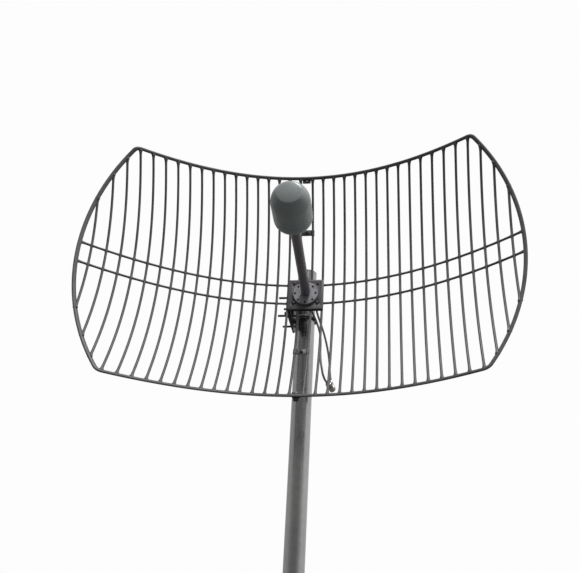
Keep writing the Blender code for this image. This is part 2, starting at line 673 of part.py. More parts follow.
def make_clamp():
    """The plate beside the mast, its U-bolts and saddles, and the two bolts of the bracket."""
    back = MAST_Y + U_BOLT_HALF_WIDTH + PIVOT_MARGIN
    slope_back = CLAMP_FRONT + (CLAMP_HIGH - PIVOT.y) * math.tan(MAX_TILT)
    outline = [
        (CLAMP_FRONT, CLAMP_LOW),
        (CLAMP_CORNER_Y, CLAMP_CORNER_LOW),
        (back, CLAMP_CORNER_HIGH),
        (back, CLAMP_HIGH),
        (slope_back, CLAMP_HIGH),
        (CLAMP_FRONT, PIVOT.y),
    ]
    holes = [
        circle((MAST_Y + sy * U_BOLT_HALF_WIDTH, sz * U_BOLT_HEIGHT), U_BOLT_RADIUS + HOLE_CLEARANCE)
        for sy in (-1, 1)
        for sz in (-1, 1)
    ]
    holes.append(circle(PIVOT, PIVOT_BOLT_RADIUS + HOLE_CLEARANCE))
    holes.append(circle(LOCK, LOCK_BOLT_RADIUS + HOLE_CLEARANCE))
    plate = plate_mesh("clamp_plate", outline, CLAMP_THICKNESS, holes)
    sideways(add_object("clamp_plate", plate, dark_steel), CLAMP_FACE_X - CLAMP_THICKNESS / 2)

    outer_face = CLAMP_FACE_X - CLAMP_THICKNESS
    bend_x = MAST_X + MAST_RADIUS + GAP + U_BOLT_RADIUS - U_BOLT_HALF_WIDTH
    washer = cylinder_mesh("nut", WASHER_RADIUS, WASHER_LENGTH, (-1, 0, 0), 16)
    hexagon = cylinder_mesh("nut", NUT_RADIUS, NUT_LENGTH + WASHER_LENGTH, (-1, 0, 0), 6)
    nut_mesh = join_meshes("u_bolt_nut", [washer, hexagon])
    bore_mesh = cylinder_mesh(
        "nut_bore", U_BOLT_RADIUS + HOLE_CLEARANCE, BORE_CUT_LENGTH, (-1, 0, 0), 12,
        (BORE_CUT_LENGTH / 3, 0, 0),
    )
    for level, sz in (("upper", 1), ("lower", -1)):
        z = sz * U_BOLT_HEIGHT
        bend = [
            (
                bend_x + U_BOLT_HALF_WIDTH * math.cos(math.radians(angle)),
                MAST_Y + U_BOLT_HALF_WIDTH * math.sin(math.radians(angle)),
                z,
            )
            for angle in range(-90, 91, 15)
        ]
        front_end = (U_BOLT_END, MAST_Y - U_BOLT_HALF_WIDTH, z)
        rear_end = (U_BOLT_END + U_BOLT_RADIUS, MAST_Y + U_BOLT_HALF_WIDTH, z)
        name = "u_bolt_" + level
        add_object(name, curve_mesh(name, [front_end, *bend, rear_end], U_BOLT_RADIUS, 4), zinc)

        saddle = box_mesh(
            "saddle_" + level,
            (CLAMP_FACE_X + GAP, MAST_Y - SADDLE_HALF_WIDTH, z - SADDLE_HALF_HEIGHT),
            (MAST_X - MAST_RADIUS * SADDLE_DEPTH, MAST_Y + SADDLE_HALF_WIDTH, z + SADDLE_HALF_HEIGHT),
        )
        cut(add_object("saddle_" + level, saddle, dark_steel), mast_space)

        for end, sy in (("front", -1), ("rear", 1)):
            name = "nut_" + level + "_" + end
            nut = add_object(name, nut_mesh.copy(), zinc)
            nut.location = (outer_face - GAP, MAST_Y + sy * U_BOLT_HALF_WIDTH, z)
            self_union(nut)
            bore = add_cutter(name + "_bore", bore_mesh)
            bore.location = nut.location
            cut(nut, bore)

    inner_face = CLAMP_FACE_X + GAP + BRACKET_THICKNESS
    for name, centre, radius in (("pivot", PIVOT, PIVOT_BOLT_RADIUS), ("lock", LOCK, LOCK_BOLT_RADIUS)):
        length = inner_face - outer_face + 2 * GAP + NUT_LENGTH + THREAD_PAST_NUT
        shaft = cylinder_mesh(name, radius, length, (-1, 0, 0), 16, (radius / 4, 0, 0))
        head = cylinder_mesh(name, radius * HEAD_WIDTH, radius * HEAD_HEIGHT, (1, 0, 0), 6)
        bolt = add_object(name + "_bolt", join_meshes(name + "_bolt", [shaft, head]), zinc)
        bolt.location = (inner_face + GAP, *centre)
        self_union(bolt)
        nut_mesh = cylinder_mesh(name, radius * HEAD_WIDTH, radius * NUT_HEIGHT, (-1, 0, 0), 6)
        nut = add_object(name + "_nut", nut_mesh, zinc)
        nut.location = (outer_face - GAP, *centre)
        bore = cylinder_mesh(
            name, radius + HOLE_CLEARANCE, BORE_CUT_LENGTH, (-1, 0, 0), 12, (BORE_CUT_LENGTH / 3, 0, 0)
        )
        hole = add_cutter(name + "_nut_bore", bore)
        hole.location = nut.location
        cut(nut, hole)


def smooth_route(points, step):
    """Points at about one step along a smooth curve through the route's own points."""
    points = [Vector(point) for point in points]
    padded = [2 * points[0] - points[1], *points, 2 * points[-1] - points[-2]]
    fine = [points[0]]
    for before, start, end, after in zip(padded, padded[1:], padded[2:], padded[3:]):
        pieces = max(1, round((end - start).length / step))
        for piece in range(1, pieces + 1):
            t = piece / pieces
            fine.append(
                (
                    2 * start
                    + (end - before) * t
                    + (2 * before - 5 * start + 4 * end - after) * t**2
                    + (3 * start - before - 3 * end + after) * t**3
                )
                / 2
            )
    return fine


def make_leads():
    """The antenna's pigtail, and the lead that is screwed to it and clipped up behind the hub."""
    exit_point = Vector((HUB_X, BRACKET_BACK + GLAND_LENGTH + 2 * GAP, 0))
    straight_out = exit_point + Vector((0, STRAIGHT_END, 0))
    straight_in = PIGTAIL_END - PIGTAIL_END_DIRECTION * STRAIGHT_END
    stops = [exit_point, straight_out, *PIGTAIL_ROUTE, straight_in, PIGTAIL_END]
    route = smooth_route(stops, COAX_STEP)
    add_object("coax_pigtail", curve_mesh("coax_pigtail", route, COAX_RADIUS, 2), coax_jacket)

    along = PIGTAIL_END_DIRECTION
    start = PIGTAIL_END + along * GAP
    plug = cylinder_mesh("pigtail_plug", PLUG_RADIUS, PLUG_LENGTH, along, 16, start)
    add_object("pigtail_plug", plug, nickel)

    start = start + along * (PLUG_LENGTH + GAP)
    corner = start + along * ELBOW_ARM_LENGTH
    up = ELBOW_BARREL_DIRECTION
    arm = cylinder_mesh(
        "elbow", ELBOW_ARM_RADIUS, ELBOW_ARM_LENGTH + ELBOW_HEEL, along, 16, start
    )
    barrel = cylinder_mesh(
        "elbow", ELBOW_BARREL_RADIUS, ELBOW_BARREL_LENGTH + ELBOW_HEEL, up, 16,
        corner - up * ELBOW_HEEL,
    )
    elbow = add_object("lead_elbow", join_meshes("lead_elbow", [arm, barrel]), nickel)
    self_union(elbow)

    start = corner + up * (ELBOW_BARREL_LENGTH + GAP)
    straight_in = LEAD_END - Vector((0, 0, STRAIGHT_END))
    stops = [start, start + up * STRAIGHT_END, *LEAD_ROUTE, straight_in, LEAD_END]
    route = smooth_route(stops, COAX_STEP)
    add_object("coax_lead", curve_mesh("coax_lead", route, COAX_RADIUS, 2), coax_jacket)

    start = LEAD_END + Vector((0, 0, GAP))
    plug = cylinder_mesh("lead_plug", LEAD_PLUG_RADIUS, LEAD_PLUG_LENGTH, (0, 0, 1), 16, start)
    add_object("lead_plug", plug, nickel)
    low = LEAD_END + Vector((-CLIP_WIDTH / 2, 0, CLIP_RISE))
    low.y = BRACKET_BACK + GAP
    high = LEAD_END + Vector((CLIP_WIDTH / 2, -LEAD_PLUG_RADIUS - GAP, CLIP_RISE + CLIP_HEIGHT))
    add_object("lead_clip", box_mesh("lead_clip", low, high), black_plastic)


mast_space = add_cutter(
    "mast_space",
    cylinder_mesh(
        "mast_space", MAST_RADIUS + GAP, CLAMP_HIGH - CLAMP_LOW, (0, 0, 1), MAST_SIDES,
        (MAST_X, MAST_Y, CLAMP_LOW),
    ),
)

make_mast()
make_grid_half("grid_left", -1)
make_grid_half("grid_right", 1)
make_ties()
make_hub()
make_feed()
make_bracket()
make_clamp()
make_leads()
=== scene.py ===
import math

import bmesh
import bpy
from mathutils import Matrix, Vector


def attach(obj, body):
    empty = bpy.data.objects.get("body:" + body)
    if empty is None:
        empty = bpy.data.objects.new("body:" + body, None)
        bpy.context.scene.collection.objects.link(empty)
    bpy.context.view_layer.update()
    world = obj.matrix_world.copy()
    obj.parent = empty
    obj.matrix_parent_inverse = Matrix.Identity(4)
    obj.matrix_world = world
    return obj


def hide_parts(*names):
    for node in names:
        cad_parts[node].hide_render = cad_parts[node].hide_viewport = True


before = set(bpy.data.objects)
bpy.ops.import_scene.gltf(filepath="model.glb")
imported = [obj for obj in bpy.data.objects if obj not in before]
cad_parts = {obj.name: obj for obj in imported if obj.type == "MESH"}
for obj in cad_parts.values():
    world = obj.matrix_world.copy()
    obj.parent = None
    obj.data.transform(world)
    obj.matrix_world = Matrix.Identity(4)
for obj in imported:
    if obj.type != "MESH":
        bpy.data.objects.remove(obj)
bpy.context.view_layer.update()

print("frame loaded:", len(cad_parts), "nodes")

# Pieces on the reflector are measured from the vertex of its paraboloid: x right, y back, z up
vertex = Vector((0.009, -0.0925, 1.399))
mastX, mastY = -vertex.x, -vertex.y
gap = 0.0003  # left between parts that touch
onDish = Matrix.Translation(vertex)
upright = Matrix.Rotation(math.radians(90), 4, "X")  # stands a flat plate up to face the front
sideways = Matrix.Rotation(math.radians(90), 4, "Z") @ upright  # its x to the back, its face to the right


# Camera, low in front of the dish and looking up at it

camera = {
    "place": (0.2340, -1.7956, 0.4689),
    "turn": (119.0313, -2.2801, 6.0645),  # degrees
    "lens": 49.36,
    "sensor": 36,
    "shift": (-0.0320, 0.0009),
}


def setCamera():
    lens = bpy.data.cameras.new("camera")
    lens.sensor_width = camera["sensor"]
    lens.lens = camera["lens"]
    lens.shift_x, lens.shift_y = camera["shift"]
    holder = bpy.data.objects.new("camera", lens)
    holder.location = camera["place"]
    holder.rotation_euler = [math.radians(a) for a in camera["turn"]]
    bpy.context.scene.collection.objects.link(holder)
    bpy.context.scene.camera = holder


setCamera()
print("camera set")


# Node helpers

def link(tree, value, socket):
    if isinstance(value, bpy.types.NodeSocket):
        tree.links.new(value, socket)
    else:
        socket.default_value = value


def addNode(tree, kind, inputs=None, **settings):
    node = tree.nodes.new(kind)
    for key, value in settings.items():
        setattr(node, key, value)
    for key, value in (inputs or {}).items():
        link(tree, value, node.inputs[key])
    return node


def calc(tree, operation, *values):
    return addNode(tree, "ShaderNodeMath", dict(enumerate(values)), operation=operation).outputs[0]


def newGroup(name, kind, inputs, outputs):
    group = bpy.data.node_groups.new(name, kind)
    for side, sockets in (("INPUT", inputs), ("OUTPUT", outputs)):
        for socketName, socketType in sockets.items():
            group.interface.new_socket(socketName, in_out=side, socket_type="NodeSocket" + socketType)
    return group, group.nodes.new("NodeGroupInput").outputs, group.nodes.new("NodeGroupOutput").inputs


def stretch(tree, value, low, high, toLow=0.0, toHigh=1.0):
    inputs = dict(enumerate((value, low, high, toLow, toHigh)))
    return addNode(tree, "ShaderNodeMapRange", inputs).outputs[0]


def mixColour(tree, mask, first, second):
    inputs = {0: mask, 6: first, 7: second}  # 6 and 7 are the node's two colours
    return addNode(tree, "ShaderNodeMix", inputs, data_type="RGBA").outputs[2]


def cloud(tree, place, scale, detail=3.0):
    inputs = {"Vector": place, "Scale": scale, "Detail": detail}
    return addNode(tree, "ShaderNodeTexNoise", inputs).outputs[0]


def objectPlace(tree):
    return addNode(tree, "ShaderNodeTexCoord").outputs["Object"]


# Shader groups that several finishes share

surface = {
    "wideShare": 0.62,  # of the blotches' mask; the finer cloud has the rest
    "fineScale": 8.0,
    "pipShare": 0.6,
    "lumpSize": 9.0,
    "lineEdges": (0.36, 0.64),
    "lineDetail": 5.0,
    "lineTint": 0.25,
    "dustFacing": (0.25, 0.95),
    "dustEdges": (0.35, 0.62),
    "dustScale": 1.7,
    "dustRough": 1.6,
    "speckLevel": 0.78,
    "speckEdge": 0.04,
    "speckField": 20.0,
    "speckFieldEdges": (0.42, 0.6),
    "metalSpread": 0.1,
}


def makeBlotches():  # two tones in soft patches with a finer cloud over them
    inputs = {"Tone": "Color", "Other Tone": "Color", "Scale": "Float", "Spread": "Float"}
    outputs = {"Colour": "Color", "Mask": "Float"}
    tree, given, made = newGroup("blotches", "ShaderNodeTree", inputs, outputs)
    place = objectPlace(tree)
    share, fineScale = surface["wideShare"], calc(tree, "MULTIPLY", given["Scale"], surface["fineScale"])
    wide = calc(tree, "MULTIPLY", cloud(tree, place, given["Scale"], 4.0), share)
    fine = calc(tree, "MULTIPLY", cloud(tree, place, fineScale), 1 - share)
    low = calc(tree, "SUBTRACT", 0.5, given["Spread"])
    high = calc(tree, "ADD", 0.5, given["Spread"])
    mask = stretch(tree, calc(tree, "ADD", wide, fine), low, high)
    link(tree, mixColour(tree, mask, given["Tone"], given["Other Tone"]), made["Colour"])
    link(tree, mask, made["Mask"])
    return tree


def makeGrain():  # the height of a cast or sprayed skin: fine pips on slow lumps
    tree, given, made = newGroup("grain", "ShaderNodeTree", {"Scale": "Float"}, {"Height": "Float"})
    place = objectPlace(tree)
    share, lumpScale = surface["pipShare"], calc(tree, "DIVIDE", given["Scale"], surface["lumpSize"])
    pips = calc(tree, "MULTIPLY", cloud(tree, place, given["Scale"], 2.0), share)
    lumps = calc(tree, "MULTIPLY", cloud(tree, place, lumpScale, 1.0), 1 - share)
    link(tree, calc(tree, "ADD", pips, lumps), made["Height"])
    return tree


def makeDrawnLines():  # long thin lines up the piece, as drawing or polishing leaves
    inputs = {"Across": "Float", "Along": "Float"}
    tree, given, made = newGroup("drawnLines", "ShaderNodeTree", inputs, {"Mask": "Float"})
    across, along = given["Across"], given["Along"]
    scale = addNode(tree, "ShaderNodeCombineXYZ", {0: across, 1: across, 2: along}).outputs[0]
    inputs = {0: objectPlace(tree), 1: scale}
    place = addNode(tree, "ShaderNodeVectorMath", inputs, operation="MULTIPLY").outputs[0]
    streaks = cloud(tree, place, 1.0, surface["lineDetail"])
    link(tree, stretch(tree, streaks, *surface["lineEdges"]), made["Mask"])
    return tree


def makeDust():  # what settles on faces that look up, in uneven patches
    tree, given, made = newGroup("settledDust", "ShaderNodeTree", {"Amount": "Float", "Scale": "Float"},
                                 {"Mask": "Float"})
    normal = addNode(tree, "ShaderNodeNewGeometry").outputs["Normal"]
    up = addNode(tree, "ShaderNodeSeparateXYZ", {0: normal}).outputs[2]
    facing = stretch(tree, up, *surface["dustFacing"])
    patches = stretch(tree, cloud(tree, objectPlace(tree), given["Scale"], 4.0), *surface["dustEdges"])
    lying = calc(tree, "MULTIPLY", facing, patches)
    link(tree, calc(tree, "MULTIPLY", lying, given["Amount"]), made["Mask"])
    return tree


def makeSpecks():  # small scattered chips or droppings of dirt
    tree, given, made = newGroup("specks", "ShaderNodeTree", {"Scale": "Float", "Share": "Float"},
                                 {"Mask": "Float"})
    place = objectPlace(tree)
    dots = cloud(tree, place, given["Scale"], 1.0)
    field = cloud(tree, place, calc(tree, "DIVIDE", given["Scale"], surface["speckField"]))
    where = stretch(tree, field, *surface["speckFieldEdges"])
    edge = calc(tree, "SUBTRACT", surface["speckLevel"], given["Share"])
    mask = stretch(tree, dots, edge, calc(tree, "ADD", edge, surface["speckEdge"]))
    link(tree, calc(tree, "MULTIPLY", mask, where), made["Mask"])
    return tree


groups = {"blotches": makeBlotches(), "grain": makeGrain(), "lines": makeDrawnLines(),
          "dust": makeDust(), "specks": makeSpecks()}


def useGroup(tree, name, **inputs):
    node = tree.nodes.new("ShaderNodeGroup")
    node.node_tree = groups[name]
    for key, value in inputs.items():
        link(tree, value, node.inputs[key.replace("_", " ")])
    return node.outputs


# Finishes. Tones are linear; grain is a scale and a depth in metres; rough runs from patch to patch

finishes = {
    "castPaint": {
        "tone": (0.090, 0.090, 0.096), "otherTone": (0.131, 0.131, 0.139), "patch": 16.0, "spread": 0.10,
        "rough": (0.42, 0.60), "metal": 0.0, "grain": (1400.0, 0.00010),
        "dust": (0.30, (0.20, 0.19, 0.175)), "specks": (420.0, 0.05, (0.22, 0.22, 0.22)),
    },
    "hubPaint": {
        "tone": (0.099, 0.093, 0.099), "otherTone": (0.127, 0.119, 0.126), "patch": 30.0, "spread": 0.12,
        "rough": (0.38, 0.55), "metal": 0.1, "grain": (1800.0, 0.00006),
        "dust": (0.35, (0.20, 0.19, 0.175)), "specks": (500.0, 0.07, (0.25, 0.24, 0.23)),
    },
    "zinc": {
        "tone": (0.289, 0.289, 0.318), "otherTone": (0.370, 0.370, 0.400), "patch": 60.0, "spread": 0.14,
        "rough": (0.36, 0.55), "metal": 0.35, "grain": (900.0, 0.00005),
        "dust": (0.20, (0.30, 0.28, 0.25)), "specks": (600.0, 0.04, (0.30, 0.26, 0.22)),
    },
    "boltSteel": {
        "tone": (0.070, 0.067, 0.067), "otherTone": (0.110, 0.104, 0.100), "patch": 70.0, "spread": 0.14,
        "rough": (0.38, 0.58), "metal": 0.4, "grain": (1100.0, 0.00005),
        "dust": (0.20, (0.22, 0.20, 0.17)), "specks": (650.0, 0.06, (0.20, 0.12, 0.07)),
    },
    "poleSteel": {
        "tone": (0.380, 0.389, 0.385), "otherTone": (0.475, 0.475, 0.465), "patch": 9.0, "spread": 0.12,
        "rough": (0.16, 0.30), "metal": 1.0, "grain": (700.0, 0.00003), "lines": (420.0, 5.0),
        "dust": (0.25, (0.25, 0.23, 0.20)), "specks": (260.0, 0.05, (0.16, 0.12, 0.09)),
    },
    "darkSteel": {
        "tone": (0.050, 0.048, 0.050), "otherTone": (0.085, 0.080, 0.080), "patch": 45.0, "spread": 0.12,
        "rough": (0.40, 0.62), "metal": 0.55, "grain": (1600.0, 0.00008),
        "dust": (0.30, (0.20, 0.18, 0.16)), "specks": (700.0, 0.06, (0.16, 0.09, 0.05)),
    },
    "armPaint": {
        "tone": (0.185, 0.166, 0.185), "otherTone": (0.223, 0.201, 0.220), "patch": 25.0, "spread": 0.12,
        "rough": (0.30, 0.46), "metal": 0.0, "grain": (1500.0, 0.00006),
        "dust": (0.35, (0.20, 0.19, 0.175)), "specks": (520.0, 0.04, (0.18, 0.17, 0.16)),
    },
    "radomePlastic": {
        "tone": (0.297, 0.335, 0.331), "otherTone": (0.351, 0.378, 0.376), "patch": 22.0, "spread": 0.14,
        "rough": (0.24, 0.38), "metal": 0.0, "grain": (900.0, 0.00003),
        "dust": (0.35, (0.32, 0.30, 0.27)), "specks": (380.0, 0.05, (0.18, 0.17, 0.15)),
    },
    "blackPlastic": {
        "tone": (0.020, 0.020, 0.021), "otherTone": (0.034, 0.034, 0.035), "patch": 40.0, "spread": 0.14,
        "rough": (0.42, 0.60), "metal": 0.0, "grain": (1700.0, 0.00006),
        "dust": (0.30, (0.18, 0.17, 0.15)), "specks": (500.0, 0.04, (0.12, 0.12, 0.12)),
    },
    "coaxJacket": {
        "tone": (0.250, 0.243, 0.252), "otherTone": (0.310, 0.300, 0.308), "patch": 60.0, "spread": 0.14,
        "rough": (0.42, 0.58), "metal": 0.0, "grain": (1500.0, 0.00004),
        "dust": (0.25, (0.26, 0.24, 0.22)), "specks": (700.0, 0.04, (0.10, 0.10, 0.10)),
    },
    "nickel": {
        "tone": (0.50, 0.48, 0.45), "otherTone": (0.62, 0.60, 0.56), "patch": 80.0, "spread": 0.14,
        "rough": (0.22, 0.40), "metal": 1.0, "grain": (1500.0, 0.00002),
        "dust": (0.20, (0.28, 0.26, 0.23)), "specks": (800.0, 0.06, (0.22, 0.18, 0.13)),
    },
}


def makeFinish(name, look):
    material = bpy.data.materials.new(name)
    material.use_nodes = True
    tree = material.node_tree
    shader = tree.nodes["Principled BSDF"]
    patches = useGroup(tree, "blotches", Tone=(*look["tone"], 1), Other_Tone=(*look["otherTone"], 1),
                       Scale=look["patch"], Spread=look["spread"])
    colour, roughMask = patches["Colour"], patches["Mask"]
    height = useGroup(tree, "grain", Scale=look["grain"][0])["Height"]
    if "lines" in look:
        lines = useGroup(tree, "lines", Across=look["lines"][0], Along=look["lines"][1])["Mask"]
        roughMask = calc(tree, "MULTIPLY", calc(tree, "ADD", roughMask, lines), 0.5)
        tint = calc(tree, "MULTIPLY", lines, surface["lineTint"])
        colour = mixColour(tree, tint, colour, (*look["otherTone"], 1))
    speckScale, speckShare, speckTone = look["specks"]
    specks = useGroup(tree, "specks", Scale=speckScale, Share=speckShare)["Mask"]
    colour = mixColour(tree, specks, colour, (*speckTone, 1))
    amount, dustTone = look["dust"]
    dust = useGroup(tree, "dust", Amount=amount, Scale=look["patch"] * surface["dustScale"])["Mask"]
    colour = mixColour(tree, dust, colour, (*dustTone, 1))
    rough = stretch(tree, roughMask, 0.0, 1.0, *look["rough"])
    rough = calc(tree, "MAXIMUM", rough, calc(tree, "MULTIPLY", dust, surface["dustRough"]))
    bump = addNode(tree, "ShaderNodeBump", {"Height": height, "Distance": look["grain"][1]})
    link(tree, colour, shader.inputs["Base Color"])
    link(tree, rough, shader.inputs["Roughness"])
    link(tree, bump.outputs[0], shader.inputs["Normal"])
    if look["metal"] in (0.0, 1.0):
        shader.inputs["Metallic"].default_value = look["metal"]
    else:
        least, most = look["metal"], look["metal"] + surface["metalSpread"]
        link(tree, stretch(tree, patches["Mask"], 0.0, 1.0, least, most), shader.inputs["Metallic"])
    return material


paints = {name: makeFinish(name, look) for name, look in finishes.items()}
print("finishes made:", len(paints))


# Mesh helpers. Each gives one closed mesh that later goes into a piece

shaping = {
    "merge": 0.0000005,
    "flatMerge": 0.00001,
    "flatAngle": 0.01,
    "edge": 0.0004,
    "edgeSteps": 2,
    "edgeAngle": math.radians(38),
    "cornerSteps": 5,
    "cornerLimit": 2.2,  # a rounded corner takes less than half of each side
    "slotSteps": 12,
    "circleSides": 32,
    "sharpFrom": 32,  # degrees
}
hexShape = {  # as shares of the flats
    "cornerRatio": 1.155,
    "chamfer": 0.11,
    "chamferStart": 0.95,
    "chamferSteps": 4,
    "sides": 48,
}
rodShape = {"sides": 20, "tip": 0.25, "taper": 0.9, "turnSteps": 6, "depth": 0.5}  # depth in thread pitches
washerShape = {"sides": 40, "edge": 0.2}


def keepMesh(name, body):
    bmesh.ops.remove_doubles(body, verts=body.verts, dist=shaping["merge"])
    bmesh.ops.recalc_face_normals(body, faces=body.faces)
    mesh = bpy.data.meshes.new(name)
    body.to_mesh(mesh)
    body.free()
    return mesh


def turned(name, profile, sides, closed=False, shape=None):
    body = bmesh.new()
    rings = []
    for radius, height in profile:
        if radius == 0:
            rings.append([body.verts.new((0, 0, height))] * sides)
            continue
        ring = []
        for number in range(sides):
            angle = 2 * math.pi * number / sides
            reach = shape(angle, radius, height) if shape else radius
            ring.append(body.verts.new((reach * math.cos(angle), reach * math.sin(angle), height)))
        rings.append(ring)
    following = rings[1:] + (rings[:1] if closed else [])
    for low, high in zip(rings, following):
        for number in range(sides):
            after = (number + 1) % sides
            corners = [low[number], low[after], high[after], high[number]]
            corners = [c for i, c in enumerate(corners) if c not in corners[:i]]
            if len(corners) > 2:
                body.faces.new(corners)
    return keepMesh(name, body)


def swept(name, points, sides, radiusAt):
    points = [Vector(p) for p in points]
    body = bmesh.new()
    steps = [(b - a).normalized() for a, b in zip(points, points[1:])]
    ways = [steps[0]] + [(a + b).normalized() for a, b in zip(steps, steps[1:])] + [steps[-1]]
    side = ways[0].orthogonal().normalized()
    rings, run = [], 0.0
    for number, (point, way) in enumerate(zip(points, ways)):
        if number:
            side = ways[number - 1].rotation_difference(way) @ side
            run += (point - points[number - 1]).length
        other = way.cross(side)
        ring = []
        for spoke in range(sides):
            angle = 2 * math.pi * spoke / sides
            reach = radiusAt(run, angle)
            spread = side * math.cos(angle) + other * math.sin(angle)
            ring.append(body.verts.new(point + spread * reach))
        rings.append(ring)
    for low, high in zip(rings, rings[1:]):
        for spoke in range(sides):
            after = (spoke + 1) % sides
            body.faces.new((low[spoke], low[after], high[after], high[spoke]))
    for ring in (rings[0], rings[-1]):
        body.faces.new(ring)
    return keepMesh(name, body)


def evaluatedMesh(carrier):
    bpy.context.scene.collection.objects.link(carrier)
    seen = carrier.evaluated_get(bpy.context.evaluated_depsgraph_get())
    mesh = bpy.data.meshes.new_from_object(seen)
    bpy.data.objects.remove(carrier)
    return mesh


def bevelled(name, mesh, width):
    carrier = bpy.data.objects.new(name, mesh)
    bevel = carrier.modifiers.new("edges", "BEVEL")
    bevel.width = width
    bevel.segments = shaping["edgeSteps"]
    bevel.limit_method = "ANGLE"
    bevel.angle_limit = shaping["edgeAngle"]
    return evaluatedMesh(carrier)


def flatPlate(name, outline, thickness, holes=(), bevel=shaping["edge"]):
    curve = bpy.data.curves.new(name, "CURVE")
    curve.dimensions = "2D"
    curve.fill_mode = "BOTH"
    curve.extrude = thickness / 2
    for loop in (outline, *holes):
        spline = curve.splines.new("POLY")
        spline.points.add(len(loop) - 1)
        spline.use_cyclic_u = True
        for target, point in zip(spline.points, loop):
            target.co = (point[0], point[1], 0, 1)
    flat = evaluatedMesh(bpy.data.objects.new(name, curve))
    body = bmesh.new()
    body.from_mesh(flat)
    bmesh.ops.remove_doubles(body, verts=body.verts, dist=shaping["flatMerge"])
    bmesh.ops.dissolve_limit(body, angle_limit=shaping["flatAngle"], verts=body.verts, edges=body.edges)
    return bevelled(name, keepMesh(name, body), bevel)


def roundedCorners(points, radius):
    outline = []
    steps, limit = shaping["cornerSteps"], shaping["cornerLimit"]
    for number, point in enumerate(points):
        here = Vector(point)
        before, after = Vector(points[number - 1]), Vector(points[(number + 1) % len(points)])
        backWay, onWay = (before - here).normalized(), (after - here).normalized()
        half = backWay.angle(onWay) / 2
        shorter = min((before - here).length, (after - here).length)
        reach = min(radius / math.tan(half), shorter / limit)
        start, end = here + backWay * reach, here + onWay * reach
        centre = here + (backWay + onWay).normalized() * reach / math.cos(half)
        for step in range(steps + 1):
            spoke = (start - centre).slerp(end - centre, step / steps)
            outline.append(tuple(centre + spoke * (start - centre).length))
    return outline


def box(name, low, high, bevel):
    body = bmesh.new()
    bmesh.ops.create_cube(body, size=1)
    low, high = Vector(low), Vector(high)
    bmesh.ops.scale(body, vec=high - low, verts=body.verts)
    bmesh.ops.translate(body, vec=(low + high) / 2, verts=body.verts)
    return bevelled(name, keepMesh(name, body), bevel)


def circle(centre, radius, sides=shaping["circleSides"]):
    angles = (2 * math.pi * step / sides for step in range(sides))
    return [(centre[0] + radius * math.cos(a), centre[1] + radius * math.sin(a)) for a in angles]


def longSlot(centre, length, width):
    half, steps = (length - width) / 2, shaping["slotSteps"]
    points = []
    for side, first in ((1, -90), (-1, 90)):
        for step in range(steps + 1):
            angle = math.radians(first + 180 * step / steps)
            x = centre[0] + side * half + width / 2 * math.cos(angle)
            points.append((x, centre[1] + width / 2 * math.sin(angle)))
    return points


def hexReach(angle, flats):
    return flats / math.cos((angle + math.pi / 6) % (math.pi / 3) - math.pi / 6)


def hexBlock(name, flats, height, bore=0.0):
    # flats is half the width across the flats; both ends are chamfered as on a real nut
    corner, chamfer = flats * hexShape["cornerRatio"], flats * hexShape["chamfer"]
    first, steps = flats * hexShape["chamferStart"], hexShape["chamferSteps"]
    rise = [(first + (corner - first) * n / steps, chamfer * n / steps) for n in range(steps + 1)]
    side = rise + [(radius, height - z) for radius, z in reversed(rise)]
    closed = bore > 0
    profile = [(bore, 0.0), *side, (bore, height)] if closed else [(0, 0), *side, (0, height)]

    def shape(angle, radius, z):
        return radius if radius == bore else min(radius, hexReach(angle, flats))
    return turned(name, profile, hexShape["sides"], closed, shape)


def thread(radius, pitch, first, last, run, angle):
    # radius of a threaded rod between two distances along it
    inside = min(max((run - first) / pitch, 0), 1) * min(max((last - run) / pitch, 0), 1)
    wave = abs(((run / pitch - angle / (2 * math.pi)) % 1) * 2 - 1)
    return radius - pitch * rodShape["depth"] * wave * inside


def rodTip(radius, left):  # radius near a chamfered end, left is the length to go
    return radius - max(0, radius * rodShape["tip"] - left) * rodShape["taper"]


def rod(name, length, radius, pitch, threaded):
    # stands on z 0 and goes down; its lower end is threaded and chamfered
    count = round(threaded / pitch * rodShape["turnSteps"])
    start = length - threaded
    stops = [0.0] + [start + threaded * n / count for n in range(count + 1)]

    def radiusAt(run, angle):
        return min(rodTip(radius, length - run), thread(radius, pitch, start, length, run, angle))
    return swept(name, [(0, 0, -s) for s in stops], rodShape["sides"], radiusAt)


def washer(name, radius, bore, thickness):
    edge = thickness * washerShape["edge"]
    profile = [(bore, 0), (radius - edge, 0), (radius, edge), (radius, thickness - edge),
               (radius - edge, thickness), (bore, thickness)]
    return turned(name, profile, washerShape["sides"], True)


def moved(mesh, matrix):
    mesh.transform(matrix)
    return mesh


def pointing(start, way):  # carries a shape that stands on z 0 to a start point and a direction
    return Matrix.Translation(start) @ Vector(way).to_track_quat("Z", "Y").to_matrix().to_4x4()


def makePiece(name, shapes, body, slotName, *replaced, place=onDish, sharp=shaping["sharpFrom"]):
    whole = bmesh.new()
    used = []
    for mesh, paint in shapes:
        if paint not in used:
            used.append(paint)
        known = len(whole.faces)
        whole.from_mesh(mesh)
        whole.faces.ensure_lookup_table()
        for face in whole.faces[known:]:
            face.material_index = used.index(paint)
            face.smooth = True
        bpy.data.meshes.remove(mesh)
    mesh = bpy.data.meshes.new(name)
    whole.to_mesh(mesh)
    whole.free()
    for paint in used:
        mesh.materials.append(paints[paint])
    mesh.transform(place)
    mesh.set_sharp_from_angle(angle=math.radians(sharp))
    piece = bpy.data.objects.new(name, mesh)
    bpy.context.scene.collection.objects.link(piece)
    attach(piece, body)
    if replaced:
        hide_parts(*replaced)
    return piece


# Coax leads: the pigtail leaves the gland and ends in a plug, the lead goes on from the elbow

